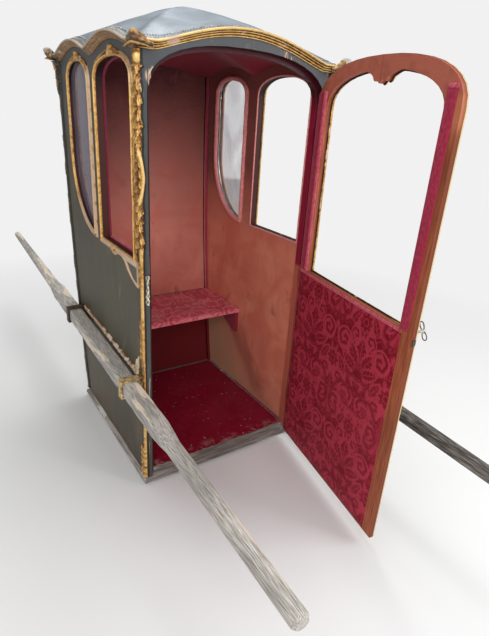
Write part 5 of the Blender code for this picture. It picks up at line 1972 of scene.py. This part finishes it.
@dataclass(frozen=True)
class DamaskPattern:
    """A traditional large figure of palms, scrolled bands and blossoms, mirrored and in half drop."""

    half: float = 0.148
    drop: float = 0.4
    ribbon: tuple[Place, ...] = (
        (0.0, 0.372), (0.04, 0.352), (0.088, 0.356), (0.126, 0.302),
        (0.136, 0.238), (0.112, 0.206), (0.088, 0.222), (0.095, 0.25),
    )
    ribbon_half_width: float = 0.0085

    @staticmethod
    def polar(u: np.ndarray, v: np.ndarray, at: Place) -> tuple[np.ndarray, np.ndarray]:
        """Returns the distance and the angle of each place as seen from a point."""
        return np.hypot(u - at[0], v - at[1]), np.arctan2(v - at[1], u - at[0])

    @staticmethod
    def leaf(
        u: np.ndarray, v: np.ndarray, base: Place, turn: float, long: float, wide: float
    ) -> np.ndarray:
        """A leaf with its midrib and side veins.

        Args:
            u: Places across the cloth.
            v: Places along it.
            base: Its foot.
            turn: Its heading.
            long: Its length.
            wide: Its half width.

        Returns:
            How much of it lies at each place, from 0 to 1.
        """
        c, s = math.cos(turn), math.sin(turn)
        a = (u - base[0]) * c + (v - base[1]) * s
        b = -(u - base[0]) * s + (v - base[1]) * c
        share = held(a / long)
        edge = wide * np.sin(np.pi * share**0.75) * (1.0 + 0.13 * np.cos(share * 38.0))
        inside = ease((edge - np.abs(b)) / 0.003 + 0.5) * (a > 0) * (a < long)
        veins = ease((0.0014 - np.abs(((a - 0.75 * np.abs(b)) % 0.017) - 0.0085)) / 0.0014 + 0.4)
        rib = ease((0.0016 - np.abs(b)) / 0.0014 + 0.5)
        line = np.maximum(veins * (np.abs(b) < edge * 0.82), rib)
        return inside * (1.0 - 0.9 * line)

    @staticmethod
    def blossom(u: np.ndarray, v: np.ndarray, at: Place, radius: float, petals: int) -> np.ndarray:
        """A round flower with petals and a ringed heart.

        Args:
            u: Places across the cloth.
            v: Places along it.
            at: Its middle.
            radius: Its radius.
            petals: How many petals.

        Returns:
            How much of it lies at each place, from 0 to 1.
        """
        reach, angle = DamaskPattern.polar(u, v, at)
        edge = radius * (0.82 + 0.18 * np.cos(petals * angle))
        inside = ease((edge - reach) / 0.003 + 0.5)
        ring = bell(reach - radius * 0.36, 0.0022)
        split = bell(np.sin(petals * angle / 2) * reach, 0.0022) * (reach > radius * 0.36)
        return inside * (1.0 - 0.9 * np.maximum(ring, split))

    @staticmethod
    def scroll(u: np.ndarray, v: np.ndarray, at: Place, radius: float, turns: float) -> np.ndarray:
        """Returns a coiled frond with a fine line along its arm, from its eye, radius and turns."""
        reach, angle = DamaskPattern.polar(u, v, at)
        wave = np.cos(angle + 2 * np.pi * turns * reach / radius + 0.5 * np.sin(5 * angle))
        arm = ease(wave / 0.3 + 0.62)
        line = bell(wave - 0.42, 0.15)
        return np.where(reach < radius, np.maximum(arm * (1.0 - 0.85 * line), 0.03), 0.0)

    @staticmethod
    def band(u: np.ndarray, v: np.ndarray, points: Sequence[Place], wide: float) -> np.ndarray:
        """A scrolled ribbon along a smooth line, with a fine ground line inside each edge.

        Args:
            u: Places across the cloth.
            v: Places along it.
            points: The line's points.
            wide: Its half width.

        Returns:
            How much of it lies at each place, from 0 to 1.
        """
        line = smooth_path(np.array(points), 7)
        far = np.full(u.shape, 9.0)
        for (ax, ay), (bx, by) in zip(line[:-1], line[1:]):
            dx, dy = bx - ax, by - ay
            t = held(((u - ax) * dx + (v - ay) * dy) / (dx * dx + dy * dy + 1e-12))
            far = np.minimum(far, np.hypot(u - ax - t * dx, v - ay - t * dy))
        inside = ease((wide - far) / 0.0025 + 0.5)
        inner = bell(far - wide * 0.62, 0.0016)
        return inside * (1.0 - 0.85 * inner)

    def flow(self, u: np.ndarray, v: np.ndarray) -> np.ndarray:
        """Flowing foliage behind the motifs: dark scrolls with a fine line along each edge.

        Args:
            u: Places across the cloth.
            v: Places along it.

        Returns:
            Values from 0 to 1.
        """
        a = np.abs((u + self.half) % (2 * self.half) - self.half) * (np.pi / self.half)
        b = v * (2 * np.pi / self.drop)
        p = a + 0.5 * np.sin(b + 0.9 * np.sin(2 * a)) + 0.22 * np.sin(3 * b + 2 * a)
        q = b + 0.55 * np.sin(2 * a + 1.1) + 0.25 * np.sin(4 * a - b)
        level = np.sin(2.6 * p) * np.cos(3 * q)
        level = level + 0.6 * np.cos(4.2 * p + 1.4 * np.sin(2 * q)) * np.sin(5 * q + 0.7)
        level = level + 0.25 * np.sin(9 * p) * np.sin(11 * q)
        dark = ease((level + 0.22) / 0.16 + 0.5)
        inner = bell(level - 0.2, 0.085)
        outer = bell(level + 0.55, 0.08)
        return held(dark * (1.0 - 0.85 * inner) + 0.7 * outer * (1.0 - dark))

    def value(self, u: np.ndarray, v: np.ndarray) -> np.ndarray:
        """How much of the dark figure lies at each place of the cloth.

        Args:
            u: Place across the cloth in metres.
            v: Place along it in metres.

        Returns:
            Values from 0 to 1.
        """
        total = self.flow(u, v)
        for shift_u, shift_v in ((0.0, 0.0), (self.half, self.drop / 2)):
            a = np.abs((u + shift_u + self.half) % (2 * self.half) - self.half)
            b = (v + shift_v) % self.drop
            shapes = [
                (self.leaf, (0.0, 0.04), math.pi / 2, 0.12, 0.03),
                (self.leaf, (0.014, 0.05), 0.95, 0.095, 0.019),
                (self.leaf, (0.018, 0.034), 0.4, 0.085, 0.016),
                (self.leaf, (0.07, 0.19), 2.15, 0.07, 0.015),
                (self.leaf, (0.018, 0.284), 0.35, 0.08, 0.014),
                (self.blossom, (0.0, 0.215), 0.034, 8),
                (self.blossom, (0.062, 0.312), 0.02, 6),
                (self.scroll, (0.098, 0.118), 0.036, -1.3),
                (self.scroll, (0.104, 0.262), 0.03, 1.2),
                (self.scroll, (0.04, 0.158), 0.024, 1.1),
            ]
            for draw, place, *rest in shapes:
                growth = (1.0, 1.08, 1.5) if draw is self.leaf else (1.2, 1)
                halo = draw(a, b, place, *(value * more for value, more in zip(rest, growth))) > 0.02
                total = np.where(halo, draw(a, b, place, *rest), total)
            total = np.maximum(total, self.band(a, b, self.ribbon, self.ribbon_half_width))
        return total


DAMASK = DamaskPattern()


def mitred_bar(
    name: str, start: tuple[Point, Point], stop: tuple[Point, Point], profile: Sequence[Place]
) -> Piece:
    """A moulding between two mitre planes.

    Args:
        name: The piece's name.
        start: Inner and outer corner at its start.
        stop: Inner and outer corner at its end.
        profile: Share of the way out, and height, for each point of the section.

    Returns:
        The new object.
    """
    rings = []
    for t in np.linspace(0.0, 1.0, 90):
        inner = np.array(start[0]) * (1 - t) + np.array(stop[0]) * t
        outer = np.array(start[1]) * (1 - t) + np.array(stop[1]) * t
        ring = np.array([inner + (outer - inner) * share + (0, 0, up) for share, up in profile])
        dent = 0.0012 * held(wobble(ring * (1, 1, 0.2), 0.09) - 0.25)
        centre = ring.mean(0)
        rings.append(ring + (centre - ring) * dent[:, None] / 0.02)
    return Mesher.tube(name, np.array(rings), crease=45.0)


@dataclass(frozen=True)
class Foot:
    """The plinth moulding, the front sill and the base board."""

    inner_x: float = 0.3253
    inner_y: float = 0.3378
    out_x: float = 0.366
    front: float = -0.3745
    back: float = 0.3805
    profile: tuple[Place, ...] = (
        (0.0, 0.012), (0.9, 0.012), (0.98, 0.014), (1.0, 0.017), (0.98, 0.02), (0.92, 0.0212),
        (0.86, 0.0216), (0.9, 0.0226), (0.95, 0.0248), (0.95, 0.028), (0.88, 0.0305), (0.78, 0.0315),
        (0.72, 0.0325), (0.68, 0.0339), (0.0, 0.034),
    )

    def build(self) -> None:
        """Builds the four mouldings."""
        inner_x, inner_y, out_x, front, back = self.inner_x, self.inner_y, self.out_x, self.front, self.back
        trim = CABIN.gap / 2
        for side in Side:
            sx = side.value
            piece = mitred_bar(
                f"plinth_{side.word}_moulded",
                ((sx * inner_x, -inner_y + trim, 0), (sx * out_x, front + trim, 0)),
                ((sx * inner_x, inner_y - trim, 0), (sx * out_x, back - trim, 0)),
                self.profile,
            )
            dress(piece, Finishes.plinth, "worn_wood", f"plinth_{side.word}")
        for node, y_in, y_out in (("front_sill", -inner_y, front), ("plinth_back", inner_y, back)):
            piece = mitred_bar(
                f"{node}_moulded",
                ((-inner_x + trim, y_in, 0), (-out_x + trim, y_out, 0)),
                ((inner_x - trim, y_in, 0), (out_x - trim, y_out, 0)),
                self.profile,
            )
            finish = Finishes.sill if node == "front_sill" else Finishes.plinth
            dress(piece, finish, "worn_wood", node)
        finish_node(Finishes.base, "base_board")


@dataclass(frozen=True)
class PoleGear:
    """The two carrying poles, their iron staples and the carved rails that run between them."""

    x: float = 0.397
    z: float = 0.4425
    rise: float = math.radians(2.5)
    stations: tuple[Point, ...] = (
        (-1.3015, 0.035, 2.0), (-1.2915, 0.049, 2.0), (-0.68, 0.051, 2.0), (-0.6, 0.056, 9.0),
        (0.64, 0.056, 9.0), (0.72, 0.051, 2.0), (1.7065, 0.034, 2.0), (1.7165, 0.022, 2.0),
    )

    def tilt(self) -> Matrix:
        """The turn that brings pieces drawn along Y onto the poles' own line."""
        return Matrix.Translation((0, 0, self.z)) @ Matrix.Rotation(self.rise, 4, "X")

    def pole(self, side: Side) -> None:
        """One weathered pole.

        Args:
            side: Which side.
        """
        table = np.array(self.stations)
        y = np.unique(np.concatenate([table[:, 0], np.linspace(table[0, 0], table[-1, 0], 420)]))
        angle = 2 * np.pi * (np.arange(48) + 0.5) / 48
        round_shape = np.stack([np.cos(angle), np.sin(angle)], 1)
        shape = {
            power: np.sign(round_shape) * np.abs(round_shape) ** (2 / power) for power in (2.0, 9.0)
        }
        rings = []
        for place in y:
            i = int(np.clip(np.searchsorted(table[:, 0], place, "right") - 1, 0, len(table) - 2))
            t = (place - table[i, 0]) / (table[i + 1, 0] - table[i, 0])
            ends = [table[i + k, 1] / 2 * shape[table[i + k, 2]] for k in (0, 1)]
            flat = ends[0] * (1 - t) + ends[1] * t
            rings.append(joined(side.value * self.x + flat[:, 0], place, flat[:, 1]))
        rings = np.array(rings)
        middle = np.array([side.value * self.x, 0.0, 0.0])
        flat = rings - middle
        dents = held(wobble(rings * (1.0, 0.35, 1.0), 0.055, 1.1)) ** 2
        corner = np.clip(np.hypot(flat[..., 0], flat[..., 2]) / 0.028 - 1.05, 0.0, 0.4)
        chips = held(wobble(rings * (0.2, 1.0, 0.2), 0.12, 2.3) - 0.15) * corner * 1.6
        keep = 1.0 - 0.028 * dents - 0.16 * chips
        flat[..., 0] *= keep
        flat[..., 2] *= keep
        piece = Mesher.tube(f"pole_{side.word}_worn", flat + middle, crease=40.0)
        piece.data.transform(self.tilt())
        # The right pole takes the darker copy: painted shade.
        finish = Finishes.pole if side is Side.LEFT else Finishes.shaded_pole
        dress(piece, finish, "pole_wood", f"pole_{side.word}", body=f"{side.word}_pole")

    def rail(self, side: Side) -> None:
        """The carved rail on the wall behind a pole, with its front leaf.

        Args:
            side: Which side.
        """
        start, stop, base = -0.3067, 0.3367, 0.026
        y, c = np.linspace(start, stop, 330), np.linspace(0.0, 1.0, 15)
        rise = np.interp(y, [start, start + 0.014, start + 0.03, stop], [0.085, 0.051, 0.02, 0.02])
        gy, gc = np.meshgrid(y, c, indexing="ij")
        gz = base + gc * rise[:, None]
        across = 2 * gc - 1
        chain = leaf_relief(across, gy / 0.034)
        bead = 0.8 * bell(across - 0.62, 0.22) + 0.6 * bell(across + 0.62, 0.22)
        bare = ease(wobble(joined(gy, gy, gy), 0.21, 0.4) * 2.0 + 0.5)
        relief = chain * bare + np.maximum(bead, 0.3) * (1 - bare)
        leaf = ease((start + 0.034 - gy) / 0.008)
        relief = relief * (1 - leaf) + leaf * (0.5 + 0.5 * np.cos(gz * 420.0 + 60 * (gy - start)) ** 2)
        rim = held(np.minimum(gc, 1 - gc) / 0.08) ** 0.5
        ends = held(np.minimum(gy - start, stop - gy) / 0.003) ** 0.5
        depth = 0.0128 * (0.22 + 0.75 * held(relief)) * (0.4 + 0.6 * rim * ends)
        wall = side.value * (CABIN.half_width + CABIN.gap)
        top = joined(wall + side.value * depth, gy, gz)
        under = joined(wall, gy, gz)
        piece = Mesher.slab(f"pole_rail_{side.word}_carved", top, under, 60.0)
        Mesher.store(piece, "relief", held(relief) * rim)
        piece.data.transform(self.tilt())
        dress(piece, Finishes.worn_gilt, "gilding", f"pole_rail_{side.word}")

    def build(self) -> None:
        """Builds both sides' gear."""
        for side in Side:
            self.pole(side)
            self.rail(side)
            finish_node(Finishes.staple, f"staple_front_{side.word}")
            finish_node(Finishes.iron, f"staple_rear_{side.word}")


@dataclass(frozen=True)
class Door:
    """The open door: wood frame, damask field, velvet stiles and gilt mouldings on its outer face."""

    face: float = -0.3665
    inner: float = -0.3485
    free: float = -0.283
    hinge_edge: float = 0.3235
    field_foot: float = 0.0455
    field_top: float = 0.796
    handle_at: Place = (-0.303, 0.805)
    handle_reach: float = 0.044
    handle_turn: float = 1.0

    def turn(self) -> Matrix:
        """The turn from shut to open."""
        return (
            Matrix.Translation(DOOR_HINGE) @ Matrix.Rotation(DOOR_OPEN, 4, "Z")
            @ Matrix.Translation(-Vector(DOOR_HINGE))
        )

    def hang(self, piece: Piece, finish: Material, slot: str, *nodes: str) -> None:
        """Turns a piece drawn on the shut door open, and dresses it."""
        piece.data.transform(self.turn())
        dress(piece, finish, slot, *nodes, body="front_door")

    def field(self) -> None:
        """The damask on the lower half, padded a little."""
        x = np.linspace(self.free, self.hinge_edge, 238)
        gx, gz = np.meshgrid(x, np.linspace(self.field_foot, self.field_top, 295))
        edge = np.minimum(gx - self.free, self.hinge_edge - gx)
        edge = np.minimum(edge, np.minimum(gz - self.field_foot, self.field_top - gz))
        puff = 0.0042 * ease((0.312 - gx) / 0.03) * ease(edge / 0.035)
        gy = self.inner + 0.0013 * ease(edge / 0.002 + 0.25) + puff
        gy = gy + 0.0009 * wobble(joined(gx, gz * 0.6, gz), 0.19) * ease(edge / 0.05)
        top = joined(gx, gy, gz)
        under = joined(gx, self.inner + 0.0002, gz)
        piece = Mesher.slab("door_damask", top, under, 60.0, plain=True)
        Mesher.store(piece, "figure", DAMASK.value(gx - 0.02, gz + 0.05))
        self.hang(piece, Finishes.damask, "crimson_damask")

    def strip(self, name: str, across: Place, up: Place, thick: float, finish: Material) -> None:
        """A slightly rounded band on the door's inner face.

        Args:
            name: The piece's name.
            across: Its edges towards the free side and the hinge.
            up: Its foot and its top.
            thick: How far it stands off.
            finish: Its material.
        """
        (x_low, x_high), (z_low, z_high) = across, up
        columns = max(7, int((x_high - x_low) / 0.002))
        rows = max(12, int((z_high - z_low) / 0.006))
        gx, gz = np.meshgrid(np.linspace(x_low, x_high, columns), np.linspace(z_low, z_high, rows))
        c = (gx - x_low) / (x_high - x_low) * 2 - 1
        e = held(np.minimum(gz - z_low, z_high - gz) / 0.004)
        gy = self.inner + 0.0003 + thick * np.sqrt(held(1.0 - 0.92 * c**2)) * (0.3 + 0.7 * e)
        gy += 0.12 * thick * wobble(joined(gx, gz, gz), 0.06) * (1 - c**2)
        top = joined(gx, gy, gz)
        under = joined(gx, self.inner + 0.0001, gz)
        self.hang(Mesher.slab(name, top, under, 60.0), finish, "crimson_damask")

    def mouldings(self) -> None:
        """The gilt mouldings round the window and the lower field of the outer face."""
        back = self.turn().inverted()
        for node in ("door_window_moulding", "door_panel_moulding"):
            plate = Plate(node, 1, -1, back)
            top = plate.loops[1][:, 1].max()
            crests = [(0.0, top - 0.012, 0.036)] if node == "door_window_moulding" else []
            piece = Ribbon(count=560).build(node + "_carved", plate, crests)
            self.hang(piece, Finishes.gilt, "gilding", node)

    def handle(self) -> None:
        """The openwork handle: a loop, a pale knob and a drop-shaped loop on a turned spindle."""
        (x, z), face = self.handle_at, self.face - CABIN.gap
        tip = face - self.handle_reach
        c, s = math.cos(self.handle_turn), math.sin(self.handle_turn)
        angle = np.linspace(0, 2 * np.pi, 28, endpoint=False)
        for name, sign, long, wide in (("upper", -1, 0.0165, 0.0095), ("lower", 1, 0.018, 0.0085)):
            along = 0.0015 + long * (1 - np.cos(angle)) / 2 * 1.55
            off = wide * np.sin(angle) * (0.75 + 0.35 * (1 - np.cos(angle)) / 2)
            loop = joined(x + sign * (along * c - off * s), tip + 0.0012, z + sign * (along * s + off * c))
            loop = piping(f"handle_loop_{name}", loop, 0.0017, True, 8)
            self.hang(loop, Finishes.steel, "steel", "door_handle")
        steps = [
            (0.0, 0.006), (0.003, 0.006), (0.005, 0.0042), (0.02, 0.0034), (0.034, 0.0042),
            (0.039, 0.0066), (0.044, 0.0072), (0.0475, 0.0045),
        ]
        rings = [[(x + r * math.cos(a), face - d, z + r * math.sin(a)) for a in angle[::2]]
                 for d, r in steps]
        self.hang(Mesher.tube("handle_spindle", np.array(rings)), Finishes.pale_brass, "steel")

    def build(self) -> None:
        """Dresses the door."""
        self.field()
        velvet, pink, edge = Finishes.velvet, Finishes.pink, self.hinge_edge
        self.strip("door_velvet_free", (-0.306, -0.2705), (0.8095, 1.446), 0.0032, velvet)
        self.strip("door_velvet_fold", (-0.3062, -0.2703), (1.4465, 1.458), 0.004, pink)
        self.strip("door_velvet_hinge", (0.2905, edge), (0.81, 1.44), 0.0034, velvet)
        self.strip("door_braid_hinge", (0.2715, 0.29), (0.81, 1.446), 0.007, pink)
        self.strip("door_braid_sill", (-0.27, edge), (0.7965, 0.809), 0.0042, pink)
        self.mouldings()
        self.handle()
        finish_node(Finishes.door_timber, "door_frame")
        finish_node(Finishes.panel, "door_panel")
        finish_node(Finishes.steel, "latch_bolt")
        hinges = [f"hinge_{part}_{n}" for part in ("door", "frame") for n in (1, 2, 3)]
        finish_node(Finishes.iron, *hinges)


@dataclass(frozen=True)
class CabinPaint:
    """The painted walls and the small remains on them."""

    remains_foot: float = 0.756
    remains_top: float = 0.856
    remains_x: float = -0.342
    keeper_y: Place = (-0.361, -0.349)
    keeper_z: Place = (0.762, 0.8)
    keeper_x: float = -0.332

    def remnant(self) -> None:
        """The silvery remains of carving on the left front post."""
        z, s = np.linspace(self.remains_foot, self.remains_top, 70), np.linspace(-1.0, 1.0, 15)
        gz, gs = np.meshgrid(z, s, indexing="ij")
        up = gz - self.remains_foot
        middle = self.remains_x + 0.0004 * np.sin(gz * 62.0)
        half = 0.0098 * (0.78 + 0.22 * np.sin(up * 71.0))
        curl = 0.46 * np.sin(up * 150.0)
        relief = bell(gs - curl, 0.36) + 0.7 * bell(gs + 1.4 * curl, 0.26)
        relief = held(relief * (0.8 + 0.2 * np.cos(up * 410.0)))
        depth = 0.0135 * (0.35 + 0.65 * relief) * (1 - np.abs(gs) ** 6)
        gx = middle + half * gs
        top = joined(gx, CABIN.front_y - 0.0004 - depth, gz)
        under = joined(gx, CABIN.front_y - 0.0002, gz)
        piece = Mesher.slab("post_carving_remains", top, under, 60.0)
        Mesher.store(piece, "relief", relief)
        dress(piece, Finishes.silvered, "gilding")

    def keeper(self) -> None:
        """The small keeper plate on the left jamb."""
        gy, gz = np.meshgrid(np.linspace(*self.keeper_y, 7), np.linspace(*self.keeper_z, 12))
        c = np.maximum(np.abs(gy + 0.355) / 0.006, np.abs(gz - 0.781) / 0.019)
        gx = self.keeper_x + 0.0002 + 0.0011 * (1 - c**8)
        top = joined(gx, gy, gz)
        under = joined(self.keeper_x, gy, gz)
        piece = Mesher.slab("keeper_plate", top, under, 40.0)
        dress(piece, Finishes.brass, "steel")

    def build(self) -> None:
        """Paints the walls."""
        for side in Side:
            finish_node(Finishes.panel, f"side_panel_{side.word}", f"post_rear_{side.word}")
            finish_node(Finishes.frame_paint, f"side_frame_{side.word}")
            finish_node(Finishes.header, f"post_front_{side.word}")
        finish_node(Finishes.panel, "back_panel")
        finish_node(Finishes.header, "header_front")
        self.remnant()
        self.keeper()


def main() -> None:
    """Builds the whole scene."""
    logging.basicConfig(level=logging.INFO, format="%(message)s")
    Studio().build()
    CabinPaint().build()
    Cornice().build()
    Roof().build()
    CornerStrips().build()
    Hoods().build()
    WindowDressing().build()
    Linings().build()
    Foot().build()
    PoleGear().build()
    Door().build()


if __name__ == "__main__":
    main()
